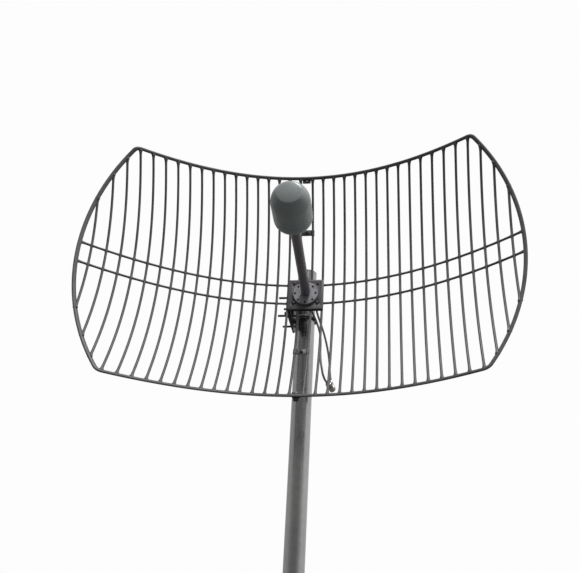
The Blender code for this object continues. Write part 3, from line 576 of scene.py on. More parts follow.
leads = {
    "radius": 0.0026,
    "sides": 20,
    "step": 0.003,
    "straight": 0.008,
    "pigtailExit": (0.0020, 0.0158, 0.0),
    "pigtailEnd": (0.0555, 0.0401, -0.2139),
    "pigtailWay": (0.47, 0.80, -0.38),
    "pigtail": [
        (0.0039, 0.0327, -0.0041), (0.0078, 0.0378, -0.0126), (0.0127, 0.0400, -0.0236),
        (0.0179, 0.0401, -0.0356), (0.0230, 0.0392, -0.0480), (0.0277, 0.0377, -0.0602),
        (0.0330, 0.0357, -0.0762), (0.0366, 0.0339, -0.0921), (0.0384, 0.0322, -0.1081),
        (0.0391, 0.0302, -0.1244), (0.0393, 0.0278, -0.1413), (0.0405, 0.0253, -0.1586),
        (0.0426, 0.0234, -0.1761), (0.0450, 0.0235, -0.1888), (0.0474, 0.0262, -0.2008),
    ],
    "pigtailLength": 0.246,
    "plugLength": 0.014,
    "plugHexagon": (0.0056, 0.0036, 0.0035),  # half the flats, height and place
    "elbowArm": 0.012,
    "elbowBarrel": 0.022,
    "elbowWay": (-0.20, 0.02, 1.0),
    "elbowHeel": 0.003,
    "lead": [
        (0.0602, 0.0615, -0.1775), (0.0590, 0.0589, -0.1572), (0.0566, 0.0559, -0.1371),
        (0.0529, 0.0528, -0.1172), (0.0483, 0.0496, -0.0974), (0.0428, 0.0459, -0.0779),
        (0.0362, 0.0415, -0.0587), (0.0294, 0.0366, -0.0397), (0.0262, 0.0340, -0.0281),
    ],
    "leadLength": 0.2058,
    "leadEnd": (0.0240, 0.0320, -0.0040),
    "clipLow": (-0.004, 0.012),
    "clipHigh": (0.004, 0.018),
    "clipFront": 0.0062,
    "clipTouch": 0.006,
    "clipBevel": 0.0010,
}
plugProfiles = {  # radius and height at each edge of a turned part, as long as leads says
    "sleeve": [(0, 0), (0.0036, 0), (0.0040, 0.0004), (0.0040, 0.0032), (0.0035, 0.0036),
               (0.0035, 0.0040), (0, 0.0040)],
    "ring": [(0, 0.0068), (0.0068, 0.0068), (0.0072, 0.0072),
             *[(0.0072, 0.0074 + 0.0005 * n) for n in range(12)],
             (0.0072, 0.0132), (0.0067, 0.0140), (0, 0.0140)],
    "arm": [(0, 0), (0.0076, 0), (0.0080, 0.0004), (0.0080, 0.0030), (0.0075, 0.0034), (0.0075, 0.0040),
            (0.0080, 0.0044), (0.0080, 0.0140), (0.0070, 0.0150), (0, 0.0150)],
    "barrel": [(0, 0), (0.0054, 0), (0.0062, 0.0008), (0.0062, 0.0100), (0.0056, 0.0106),
               (0.0056, 0.0120), (0.0046, 0.0124), (0.0046, 0.0170), (0.0041, 0.0176), (0.0038, 0.0244),
               (0.0034, 0.0250), (0, 0.0250)],
    "boot": [(0, 0), (0.0033, 0), (0.0040, 0.0030), (0.0044, 0.0080), (0.0044, 0.0092), (0, 0.0092)],
    "body": [(0, 0.0088), (0.0054, 0.0088), (0.0060, 0.0094), (0.0060, 0.0200), (0.0054, 0.0206),
             (0, 0.0206)],
    "nose": [(0, 0.0200), (0.0048, 0.0200), (0.0048, 0.0256), (0.0044, 0.0260), (0, 0.0260)],
}
plugSides = {"sleeve": 40, "ring": 144, "arm": 64, "barrel": 64, "boot": 48, "body": 96, "nose": 64}
ringKnurl = {"first": 0.0073, "last": 0.0131, "teeth": 48, "depth": 0.0004}


def smoothRoute(stops, step):
    points = [Vector(p) for p in stops]
    padded = [2 * points[0] - points[1], *points, 2 * points[-1] - points[-2]]
    fine = [points[0]]
    for before, start, end, after in zip(padded, padded[1:], padded[2:], padded[3:]):
        pieces = max(1, round((end - start).length / step))
        for piece in range(1, pieces + 1):
            t = piece / pieces
            square, cube = 2 * before - 5 * start + 4 * end - after, 3 * start - before - 3 * end + after
            fine.append((2 * start + (end - before) * t + square * t**2 + cube * t**3) / 2)
    return fine


def knurled(angle, radius, height):
    if ringKnurl["first"] < height < ringKnurl["last"]:
        radius -= ringKnurl["depth"] * abs(math.sin(angle * ringKnurl["teeth"] / 2))
    return radius


def plugPart(name, shape=None):
    return turned(name, plugProfiles[name], plugSides[name], shape=shape)


def makeLeads():
    straight = leads["straight"]
    exitPoint = Vector(leads["pigtailExit"])
    end, way = Vector(leads["pigtailEnd"]), Vector(leads["pigtailWay"]).normalized()
    route = smoothRoute([exitPoint, exitPoint + Vector((0, straight, 0)), *leads["pigtail"],
                         end - way * straight, end], leads["step"])
    tube = swept("coaxPigtail", route, leads["sides"], lambda run, angle: leads["radius"])
    pigtail = makePiece("coaxPigtail", [(tube, "coaxJacket")], "antenna", "coax_jacket", "coax_pigtail")

    # Plug with a crimped sleeve, a hexagon and a knurled ring
    start = end + way * gap
    flats, height, lift = leads["plugHexagon"]
    hexagon = moved(hexBlock("hexagon", flats, height), Matrix.Translation((0, 0, lift)))
    shapes = [(mesh, "nickel") for mesh in (plugPart("sleeve"), hexagon, plugPart("ring", knurled))]
    plug = makePiece("pigtailPlug", shapes, "antenna", "nickel", "pigtail_plug",
                     place=onDish @ pointing(start, way))

    # Right-angled plug: an arm to the pigtail and a barrel that the lead leaves at its top
    start = start + way * (leads["plugLength"] + gap)
    corner = start + way * leads["elbowArm"]
    up = Vector(leads["elbowWay"]).normalized()
    arm = moved(plugPart("arm"), pointing(start, way))
    barrel = moved(plugPart("barrel"), pointing(corner - up * leads["elbowHeel"], up))
    shapes = [(arm, "nickel"), (barrel, "nickel")]
    elbow = makePiece("leadElbow", shapes, "antenna", "nickel", "lead_elbow")

    start = corner + up * (leads["elbowBarrel"] + gap)
    leadEnd, rise = Vector(leads["leadEnd"]), Vector((0, 0, 1))
    stops = [start, start + up * straight, *leads["lead"], leadEnd - rise * straight, leadEnd]
    route = smoothRoute(stops, leads["step"])
    tube = swept("coaxLead", route, leads["sides"], lambda run, angle: leads["radius"])
    lead = makePiece("coaxLead", [(tube, "coaxJacket")], "antenna", "coax_jacket", "coax_lead")

    shapes = [(plugPart("boot"), "blackPlastic"), (plugPart("body"), "nickel"),
              (plugPart("nose"), "nickel")]
    leadPlug = makePiece("leadPlug", shapes, "antenna", "nickel", "lead_plug",
                         place=onDish @ Matrix.Translation(leadEnd + rise * gap))

    (left, low), (right, high) = leads["clipLow"], leads["clipHigh"]
    lowest = (leadEnd.x + left, leads["clipFront"] + gap, leadEnd.z + low)
    highest = leadEnd + Vector((right, -leads["clipTouch"] - gap, high))
    clip = box("clip", lowest, highest, leads["clipBevel"])
    makePiece("leadClip", [(clip, "blackPlastic")], "antenna", "black_plastic", "lead_clip")


makeLeads()
print("leads made")


# Grid halves: wires, cross wires and the rail follow the dish in one node tree

grid = {
    "Wires": 18,
    "First Wire": 0.0153,
    "Pitch": 0.0271,
    "Wire Radius": 0.0030,
    "Focal Length": 0.2728,
    "Outline Radius": 0.4983,
    "Rail Height": 0.2948,
    "Rail Half Width": 0.0038,
    "Rail Half Depth": 0.0025,
    "Cross Height": 0.0252,
    "Cross Start": 0.0370,
    "Cross Radius": 0.0027,
    "Cross Set Back": 0.0006,
    "Fillet": 0.0024,
    "Fillet Reach": 0.0042,
    "Fillet Pressing": 1.7,
    "Crossing Swell": 0.22,
    "Crossing Width": 0.0042,
}
railLine = {
    "cornerRadius": 0.020,
    "halfGap": gap / 2,
    "railSteps": 40,
    "cornerSteps": 10,
    "sideSteps": 60,
}
gridDetail = {
    "wireSteps": 200,
    "wireSides": 12,
    "crossSteps": 300,
    "railSides": 24,
    "filletStart": 0.8,
    "sharpFrom": 60,
}


def finishTree(tree, geometry, finish, end):  # every tree ends in real geometry with its finish
    real = addNode(tree, "GeometryNodeRealizeInstances", {0: geometry}).outputs[0]
    last = addNode(tree, "GeometryNodeSetMaterial", {"Geometry": real, "Material": finish})
    link(tree, last.outputs[0], end)


def gridTree():
    numbers = {name: "Int" if name == "Wires" else "Float" for name in grid}
    inputs = {"Rail Line": "Geometry", "Side": "Float", **numbers, "Finish": "Material"}
    tree, given, made = newGroup("gridHalf", "GeometryNodeTree", inputs, {"Geometry": "Geometry"})

    def sums(operation, *values):
        return calc(tree, operation, *values)

    def combine(x, y, z):
        return addNode(tree, "ShaderNodeCombineXYZ", {0: x, 1: y, 2: z}).outputs[0]

    def reachAt(x):  # how far up a wire at x meets the rail or the side arc
        square = sums("SUBTRACT", sums("POWER", given["Outline Radius"], 2.0), sums("POWER", x, 2.0))
        return sums("MINIMUM", given["Rail Height"], sums("SQRT", square))

    def spreadOut(x, z):
        return sums("ADD", sums("POWER", x, 2.0), sums("POWER", z, 2.0))

    def deepAt(x, z):
        return sums("DIVIDE", spreadOut(x, z), sums("MULTIPLY", given["Focal Length"], 4.0))

    def dishPoint(x, z, back):
        return combine(sums("MULTIPLY", given["Side"], x), sums("SUBTRACT", back, deepAt(x, z)), z)

    def bend(curve, x, z, back=0.0):
        return addNode(tree, "GeometryNodeSetPosition",
                       {"Geometry": curve, "Position": dishPoint(x, z, back)}).outputs[0]

    def bump(distance, width):  # 1 at no distance, falling to 0
        square = sums("POWER", sums("DIVIDE", distance, width), 2.0)
        return sums("EXPONENT", sums("MULTIPLY", square, -1.0))

    def flare(distance):  # the cast fillet where a wire runs into the rail
        start = sums("MULTIPLY", given["Rail Half Width"], gridDetail["filletStart"])
        past = sums("MAXIMUM", sums("SUBTRACT", distance, start), 0.0)
        fall = sums("EXPONENT", sums("MULTIPLY", sums("DIVIDE", past, given["Fillet Reach"]), -1.0))
        return sums("MULTIPLY", fall, sums("DIVIDE", given["Fillet"], given["Wire Radius"]))

    def tube(curve, radius, sides, scale=1.0):
        inputs = {"Resolution": sides, "Radius": radius}
        profile = addNode(tree, "GeometryNodeCurvePrimitiveCircle", inputs).outputs[0]
        inputs = {"Curve": curve, "Profile Curve": profile, "Scale": scale, "Fill Caps": True}
        return addNode(tree, "GeometryNodeCurveToMesh", inputs).outputs[0]

    def pressed(mesh, distance):  # thins the fillets to the rail's own depth
        grown = sums("MULTIPLY", flare(distance), given["Fillet Pressing"])
        squeeze = sums("SUBTRACT", sums("DIVIDE", 1.0, sums("ADD", grown, 1.0)), 1.0)
        shift = sums("MULTIPLY", squeeze, sums("ADD", back, deepAt(x, z)))
        return addNode(tree, "GeometryNodeSetPosition",
                       {"Geometry": mesh, "Offset": combine(0.0, shift, 0.0)}).outputs[0]

    def laid(mesh):  # bends a flat tube to the dish and thins it square to the surface
        double = sums("MULTIPLY", given["Focal Length"], 2.0)
        slopes = sums("DIVIDE", spreadOut(x, z), sums("POWER", double, 2.0))
        thin = sums("MULTIPLY", back, sums("DIVIDE", given["Rail Half Depth"], given["Rail Half Width"]))
        thin = sums("DIVIDE", thin, sums("SQRT", sums("ADD", slopes, 1.0)))
        tilted = sums("DIVIDE", thin, double)
        newX = sums("MULTIPLY", given["Side"], sums("ADD", x, sums("MULTIPLY", x, tilted)))
        newZ = sums("ADD", z, sums("MULTIPLY", z, tilted))
        place = combine(newX, sums("SUBTRACT", thin, deepAt(x, z)), newZ)
        return addNode(tree, "GeometryNodeSetPosition", {"Geometry": mesh, "Position": place}).outputs[0]

    def resampled(curve, count):
        return addNode(tree, "GeometryNodeResampleCurve", {"Curve": curve, "Count": count}).outputs[0]

    here = addNode(tree, "GeometryNodeInputPosition").outputs[0]
    place = addNode(tree, "ShaderNodeSeparateXYZ", {0: here}).outputs
    x, back, z = sums("ABSOLUTE", place[0]), place[1], place[2]
    height = sums("ABSOLUTE", z)

    # Upright wires: a unit line on each point of a row, stretched to its own reach
    start, offset = combine(given["First Wire"], 0.0, 0.0), combine(given["Pitch"], 0.0, 0.0)
    inputs = {"Count": given["Wires"], "Start Location": start, "Offset": offset}
    row = addNode(tree, "GeometryNodeMeshLine", inputs).outputs[0]
    unit = addNode(tree, "GeometryNodeCurvePrimitiveLine", {"Start": (0, 0, -1), "End": (0, 0, 1)})
    wire = resampled(unit.outputs[0], gridDetail["wireSteps"])
    standing = addNode(tree, "GeometryNodeInstanceOnPoints", {"Points": row, "Instance": wire})
    lines = addNode(tree, "GeometryNodeRealizeInstances", {0: standing.outputs[0]}).outputs[0]
    lines = bend(lines, x, sums("MULTIPLY", z, reachAt(x)))
    crossed = sums("GREATER_THAN", x, given["Cross Start"])
    swell = bump(sums("SUBTRACT", height, given["Cross Height"]), given["Crossing Width"])
    swell = sums("MULTIPLY", swell, sums("MULTIPLY", crossed, given["Crossing Swell"]))
    left = sums("SUBTRACT", reachAt(x), height)
    scale = sums("ADD", sums("ADD", flare(left), swell), 1.0)
    sides = gridDetail["wireSides"]
    wires = pressed(tube(lines, given["Wire Radius"], sides, scale), left)

    # Cross wires, a little behind the uprights, thicker where they pass them
    square = sums("POWER", given["Outline Radius"], 2.0)
    crossEnd = sums("SQRT", sums("SUBTRACT", square, sums("POWER", given["Cross Height"], 2.0)))
    crossings = []
    for side in (1.0, -1.0):
        level = sums("MULTIPLY", given["Cross Height"], side)
        start, end = combine(given["Cross Start"], 0.0, level), combine(crossEnd, 0.0, level)
        line = addNode(tree, "GeometryNodeCurvePrimitiveLine", {"Start": start, "End": end}).outputs[0]
        crossings.append(bend(resampled(line, gridDetail["crossSteps"]), x, z, given["Cross Set Back"]))
    number = sums("DIVIDE", sums("SUBTRACT", x, given["First Wire"]), given["Pitch"])
    off = sums("ABSOLUTE", sums("SUBTRACT", number, sums("ROUND", number)))
    swell = bump(sums("MULTIPLY", off, given["Pitch"]), given["Crossing Width"])
    left = sums("SUBTRACT", crossEnd, x)
    scale = sums("ADD", sums("MULTIPLY", swell, given["Crossing Swell"]), 1.0)
    scale = sums("ADD", scale, flare(left))
    crossTubes = [pressed(tube(line, given["Cross Radius"], sides, scale), left) for line in crossings]

    # The rail follows the line that the object brings, as an oval strip
    line = addNode(tree, "GeometryNodeMeshToCurve", {0: given["Rail Line"]}).outputs[0]
    rail = laid(tube(line, given["Rail Half Width"], gridDetail["railSides"]))

    joined = tree.nodes.new("GeometryNodeJoinGeometry")
    for part in (wires, *crossTubes, rail):
        tree.links.new(part, joined.inputs[0])
    finishTree(tree, joined.outputs[0], given["Finish"], made["Geometry"])
    return tree


def nodesMesh(name, base, tree, values):
    carrier = bpy.data.objects.new(name, base)
    modifier = carrier.modifiers.new(name, "NODES")
    modifier.node_group = tree
    for item in tree.interface.items_tree:
        if item.in_out == "INPUT" and item.name in values:
            modifier[item.identifier] = values[item.name]
    return evaluatedMesh(carrier)


def railPoints():
    # in from the centre line, round the corner, down the side and back, as x and z
    radius, height, corner = grid["Outline Radius"], grid["Rail Height"], railLine["cornerRadius"]
    innerZ = height - corner
    centreX = math.sqrt((radius - corner) ** 2 - innerZ**2)
    first = math.atan2(innerZ, centreX)
    steps = railLine["railSteps"]
    reach = centreX - railLine["halfGap"]
    quarter = [(railLine["halfGap"] + reach * n / steps, height) for n in range(steps + 1)]
    steps = railLine["cornerSteps"]
    for n in range(1, steps + 1):
        angle = math.pi / 2 + (first - math.pi / 2) * n / steps
        quarter.append((centreX + corner * math.cos(angle), innerZ + corner * math.sin(angle)))
    steps = railLine["sideSteps"]
    for n in range(1, steps + 1):
        angle = first * (1 - n / steps)
        quarter.append((radius * math.cos(angle), radius * math.sin(angle)))
    return quarter + [(x, -z) for x, z in reversed(quarter[:-1])]


def makeGrid():
    tree = gridTree()
    points = railPoints()
    for name, side in (("gridLeft", -1.0), ("gridRight", 1.0)):
        line = bpy.data.meshes.new(name)
        line.from_pydata([(x, 0, z) for x, z in points], [(n, n + 1) for n in range(len(points) - 1)], [])
        half = nodesMesh(name, line, tree, {**grid, "Side": side, "Finish": paints["castPaint"]})
        body = bmesh.new()
        body.from_mesh(half)
        half = keepMesh(name, body)
        node, sharp = "grid_left" if side < 0 else "grid_right", gridDetail["sharpFrom"]
        makePiece(name, [(half, "castPaint")], "antenna", "grid_paint", node, sharp=sharp)


makeGrid()
print("grid made")


# Ties on the centre line, top, bottom and between the two middle wires

ties = {
    "thickness": 0.003,
    "railWidth": 0.0205,
    "railTop": (0.2828, 0.2968, 0.2858),  # both edges and the bolt, up from the middle
    "railBottom": (0.285, 0.3065, 0.3028),
    "railDepth": 0.00308,
    "railBolt": 0.0031,
    "wireHalfWidth": 0.0119,
    "wireHeight": 0.015,
    "wirePlace": 0.1645,
    "wireBoltX": 0.001,
    "wireBolt": 0.0041,
    "boltHeight": 0.0032,
    "sleeveRadius": 0.0041,
    "sleeveEnd": 0.0035,
    "sleeveEdge": 0.0008,
    "sleeveSides": 32,
    "disc": (0.0052, 0.001, 0.0007),  # radius, bore and thickness
    "discSink": 0.0001,
    "lugHalfWidth": 0.0062,
    "lugStart": 0.2965,
    "lugNeck": 0.004,
    "upperBolt": 0.2885,
    "corner": 0.0025,
    "railBevel": 0.0006,
    "wireBevel": 0.0007,
}


def dishDepth(x, z):
    return -(x * x + z * z) / (4 * grid["Focal Length"])


def makeTies():
    thick = ties["thickness"]
    back = dishDepth(0, grid["Rail Height"]) + ties["railDepth"] + gap
    for word, sign in (("Top", 1), ("Bottom", -1)):
        half = ties["railWidth"] / 2
        near, far, boltZ = (sign * value for value in ties["rail" + word])
        corners = [(-half, near), (half, near), (half, far), (-half, far)]
        if word == "Bottom":  # narrows to a lug round its bolt below the rail
            lug, start = ties["lugHalfWidth"], -ties["lugStart"]
            neck = start - ties["lugNeck"]
            corners = [(-half, near), (half, near), (half, start), (lug, neck), (lug, far), (-lug, far),
                       (-lug, neck), (-half, start)]
        outline = roundedCorners(corners, ties["corner"])
        plate = moved(flatPlate("tie", outline, thick, bevel=ties["railBevel"]),
                      Matrix.Translation((0, back + thick / 2, 0)) @ upright)
        shapes = [(plate, "castPaint")]
        heads = [(boltZ, "darkSteel")] + [(-ties["upperBolt"], "zinc")] * (word == "Bottom")
        for place, paint in heads:
            bolt = hexBlock("bolt", ties["railBolt"], ties["boltHeight"])
            shapes.append((moved(bolt, pointing((0, back - gap, place), (0, -1, 0))), paint))
        makePiece("railTie" + word, shapes, "antenna", "grid_paint", "rail_tie_%s" % word.lower(),
                  "rail_tie_bolt_" + word.lower())
    for word, sign in (("Upper", 1), ("Lower", -1)):
        z = sign * ties["wirePlace"]
        depth = dishDepth(0, z)
        half, rise = ties["wireHalfWidth"], ties["wireHeight"] / 2
        lean = math.atan2(-sign * ties["wirePlace"], 2 * grid["Focal Length"])
        plate = box("tie", (-half, -thick / 2, -rise), (half, thick / 2, rise), ties["wireBevel"])
        shapes = [(plate, "castPaint")]
        end, full, edge = ties["sleeveEnd"], ties["sleeveRadius"], rise - ties["sleeveEdge"]
        profile = [(0, -rise), (end, -rise), (full, -edge), (full, edge), (end, rise), (0, rise)]
        for side in (-1, 1):
            sleeve = turned("sleeve", profile, ties["sleeveSides"])
            place = Matrix.Translation((side * grid["First Wire"], 0, 0))
            shapes.append((moved(sleeve, place), "castPaint"))
        boltX, top = ties["wireBoltX"], -thick / 2
        disc = moved(washer("disc", *ties["disc"]), pointing((boltX, top, 0), (0, -1, 0)))
        seat = top - ties["disc"][2] + ties["discSink"]
        head = moved(hexBlock("head", ties["wireBolt"], ties["boltHeight"]),
                     pointing((boltX, seat, 0), (0, -1, 0)))
        shapes += [(disc, "zinc"), (head, "darkSteel")]
        place = onDish @ Matrix.Translation((0, depth, z)) @ Matrix.Rotation(-lean, 4, "X")
        makePiece("wireTie" + word, shapes, "antenna", "grid_paint", "wire_tie_" + word.lower(),
                  "wire_tie_bolt_" + word.lower(), place=place)


makeTies()
print("ties made")


# Hub: slotted plate, the feed's flange with its ring of screws, four bolts through the bracket

hub = {
    "x": 0.002,
    "width": 0.088,
    "low": -0.0443,
    "high": 0.0367,
    "corner": 0.0035,
    "thickness": 0.0025,
    "back": -0.007,
    "slotX": 0.029,
    "slotZ": 0.027,
    "slotLength": 0.011,
    "slotWidth": 0.0056,
    "boltRadius": 0.0025,
    "boltHead": 0.0033,
    "boltHeadHeight": 0.002,
    "boltLength": 0.0212,
    "boltPitch": 0.0008,
    "boltThreaded": 0.006,
    "flangeRadius": 0.031,
    "flangeThickness": 0.005,
    "flangeEdge": 0.0012,
    "flangeFoot": 0.0004,
    "flangeDrop": 0.0025,
    "flangeDish": (0.0150, 0.0146, 0.0003),  # radius at its rim and floor, and depth
    "flangeSides": 128,
}
flangeScrews = {"Count": 8, "Ring Radius": 0.0252, "First Angle": 0.0}
screwHead = {
    "radius": 0.0028,
    "dome": [(1, 0), (1, 0.0004), (0.93, 0.0008), (0.75, 0.00115)],  # share of the radius, and height
    "height": 0.0015,
    "socket": 0.0013,
    "flats": 0.9,
    "depth": 0.0009,
    "sides": 24,
    "sink": 0.0001,
}


def screwRingTree():  # repeats the object's own mesh round a ring
    inputs = {"Screw": "Geometry", "Count": "Int", "Ring Radius": "Float", "First Angle": "Float",
              "Finish": "Material"}
    tree, given, made = newGroup("screwRing", "GeometryNodeTree", inputs, {"Geometry": "Geometry"})
    inputs = {"Vertices": given["Count"], "Radius": given["Ring Radius"]}
    ring = addNode(tree, "GeometryNodeMeshCircle", inputs).outputs[0]
    turn = addNode(tree, "ShaderNodeCombineXYZ", {2: given["First Angle"]}).outputs[0]
    ring = addNode(tree, "GeometryNodeTransform", {"Geometry": ring, "Rotation": turn}).outputs[0]
    copies = addNode(tree, "GeometryNodeInstanceOnPoints", {"Points": ring, "Instance": given["Screw"]})
    finishTree(tree, copies.outputs[0], given["Finish"], made["Geometry"])
    return tree


def makeHub():
    half, low, high = hub["width"] / 2, hub["low"], hub["high"]
    corners = [(-half, low), (half, low), (half, high), (-half, high)]
    slots = [longSlot((sx * hub["slotX"], sz * hub["slotZ"]), hub["slotLength"], hub["slotWidth"])
             for sx in (-1, 1) for sz in (-1, 1)]
    plate = moved(flatPlate("plate", roundedCorners(corners, hub["corner"]), hub["thickness"], slots),
                  Matrix.Translation((hub["x"], hub["back"] - hub["thickness"] / 2, 0)) @ upright)
    makePiece("hubPlate", [(plate, "hubPaint")], "antenna", "grid_paint", "hub_plate")

    front = hub["back"] - hub["thickness"]
    shapes = []
    for sx in (-1, 1):
        for sz in (-1, 1):
            place = pointing((hub["x"] + sx * hub["slotX"], front - gap, sz * hub["slotZ"]), (0, -1, 0))
            head = hexBlock("head", hub["boltHead"], hub["boltHeadHeight"])
            shank = rod("shank", hub["boltLength"], hub["boltRadius"], hub["boltPitch"],
                        hub["boltThreaded"])
            shapes += [(moved(head, place), "darkSteel"), (moved(shank, place), "darkSteel")]
    makePiece("hubBolts", shapes, "antenna", "dark_steel", "hub_bolt_lower_left", "hub_bolt_lower_right",
              "hub_bolt_upper_left", "hub_bolt_upper_right")

    radius, thick = hub["flangeRadius"], hub["flangeThickness"]
    edge, foot = hub["flangeEdge"], hub["flangeFoot"]
    rim, floor, sunk = hub["flangeDish"]
    profile = [(0, 0), (radius - foot, 0), (radius, foot), (radius, thick - edge), (radius - edge, thick),
               (rim, thick), (floor, thick - sunk), (0, thick - sunk)]
    disc = turned("disc", profile, hub["flangeSides"])
    socket, top = screwHead["socket"], screwHead["height"]
    bottom = top - screwHead["depth"]
    dome = [(screwHead["radius"] * share, height) for share, height in screwHead["dome"]]
    profile = [(0, 0), *dome, (socket, top), (socket, bottom), (0, bottom)]

    def socketShape(angle, r, height):
        return hexReach(angle, r * screwHead["flats"]) if r == socket else r
    screw = turned("screw", profile, screwHead["sides"], shape=socketShape)
    ring = nodesMesh("screws", screw, screwRingTree(), {**flangeScrews, "Finish": paints["darkSteel"]})
    ring = moved(ring, Matrix.Translation((0, 0, thick - screwHead["sink"])))
    seat = pointing((hub["x"], front - gap, -hub["flangeDrop"]), (0, -1, 0))
    makePiece("feedFlange", [(disc, "zinc"), (ring, "darkSteel")], "antenna", "zinc_plate", "feed_flange",
              place=onDish @ seat)


makeHub()
print("hub made")


# Feed: arm, radome in two shells, and the gland behind the hub

feedArm = {
    "radius": 0.01125,
    "lean": math.radians(1.61),
    "start": 0.0157,
    "end": 0.3265,
    "steps": 30,
    "sides": 64,
}
radome = {
    "radius": 0.0415,
    "seam": 0.352,
    "backRadius": 0.0331,
    "backCurve": 0.0142,
    "frontStart": 0.3928,
    "frontRadius": 0.0122,
    "frontCurve": 0.0404,
    "faceAngle": math.radians(61),
    "dome": 0.0029,
    "seamInset": 0.0005,
    "seamBack": 0.0006,
    "seamFront": 0.0009,
    "steps": 20,
    "sides": 128,
}
gland = {"flats": 0.0087, "nutLength": 0.0052, "back": 0.0062, "sides": 48,
         "neck": [(0, 0.001), (0.0055, 0.001), (0.0055, 0.0070), (0.0038, 0.009), (0, 0.009)]}


def makeFeed():
    leaning = Matrix.Rotation(feedArm["lean"], 4, "Z") @ upright
    axis = onDish @ Matrix.Translation((hub["x"], 0, 0)) @ leaning
    r, start, end, steps = feedArm["radius"], feedArm["start"], feedArm["end"], feedArm["steps"]
    profile = [(0, start), *[(r, start + (end - start) * n / steps) for n in range(steps + 1)], (0, end)]
    arm = turned("arm", profile, feedArm["sides"])
    makePiece("feedArm", [(arm, "armPaint")], "antenna", "arm_paint", "feed_arm", place=axis)

    steps, full, sides, inset = radome["steps"], radome["radius"], radome["sides"], radome["seamInset"]
    flat, curve, seam = radome["backRadius"], radome["backCurve"], radome["seam"]
    base = end + gap
    back = [(0, base), (flat * 0.5, base)]
    for n in range(steps + 1):
        angle = math.pi / 2 * n / steps
        back.append((flat + (full - flat) * math.sin(angle), base + curve * (1 - math.cos(angle))))
    back += [(full, seam - radome["seamBack"]), (full - inset, seam), (0, seam)]
    shell = [(turned("back", back, sides), "radomePlastic")]
    makePiece("radomeBack", shell, "antenna", "radome_plastic", "radome_base", place=axis)

    middle, straight = radome["frontRadius"], radome["frontStart"]
    front = [(0, seam + gap), (full - inset, seam + gap), (full, seam + radome["seamFront"]),
             (full, straight)]
    for n in range(1, steps + 1):
        angle = radome["faceAngle"] * n / steps
        front.append((middle + (full - middle) * math.cos(angle),
                      straight + radome["frontCurve"] * math.sin(angle)))
    edgeRadius, edge = front[-1]
    for n in range(1, steps // 2 + 1):
        t = n / (steps // 2)
        front.append((edgeRadius * (1 - t), edge + radome["dome"] * (1 - (1 - t) ** 2)))
    shell = [(turned("front", front, sides), "radomePlastic")]
    makePiece("radomeFront", shell, "antenna", "radome_plastic", "radome", place=axis)

    nut = hexBlock("nut", gland["flats"], gland["nutLength"])
    neck = turned("neck", gland["neck"], gland["sides"])
    makePiece("feedGland", [(nut, "nickel"), (neck, "blackPlastic")], "antenna", "nickel", "feed_gland",
              place=onDish @ pointing((hub["x"], gland["back"] + gap, 0), (0, 1, 0)))


makeFeed()
print("feed made")


# Tilt bracket: a leg behind the hub and a flange beside the mast, bent from one sheet

bracket = {
    "front": 0.0032,
    "thickness": 0.003,
    "low": -0.042,
    "high": 0.0355,
    "left": -0.0382,
    "right": 0.042,
    "bend": 0.0045,
    "flangeLow": -0.048,
    "flangeHigh": 0.012,
    "flangeBack": 0.044,
    "pivot": (0.028, -0.036),
    "lock": (0.036, -0.004),
    "travel": math.radians(25),
    "slotSpare": math.radians(1.5),
    "noseCut": 0.006,
    "noseStep": 0.004,
    "lockMargin": 0.008,
    "bendSteps": 8,
    "bendBevel": 0.0002,
    "holeSides": 24,
    "holes": 0.0003,
}
pivotRadius, lockRadius = 0.004, 0.003
arcSlotSteps, slotEndSteps = 20, 10


def arcPoints(centre, radius, first, last, steps):
    angles = (first + (last - first) * n / steps for n in range(steps + 1))
    return [(centre[0] + radius * math.cos(a), centre[1] + radius * math.sin(a)) for a in angles]


def arcSlot(centre, first, last, radius, width):
    half, points = width / 2, []
    for start, end, side in ((first, last, 1), (last, first, -1)):
        points += arcPoints(centre, radius + side * half, start, end, arcSlotSteps)
        turn = end if side > 0 else end + math.pi
        middle = arcPoints(centre, radius, end, end, 1)[0]
        points += arcPoints(middle, half, turn, turn + math.pi, slotEndSteps)[1:-1]
    return points


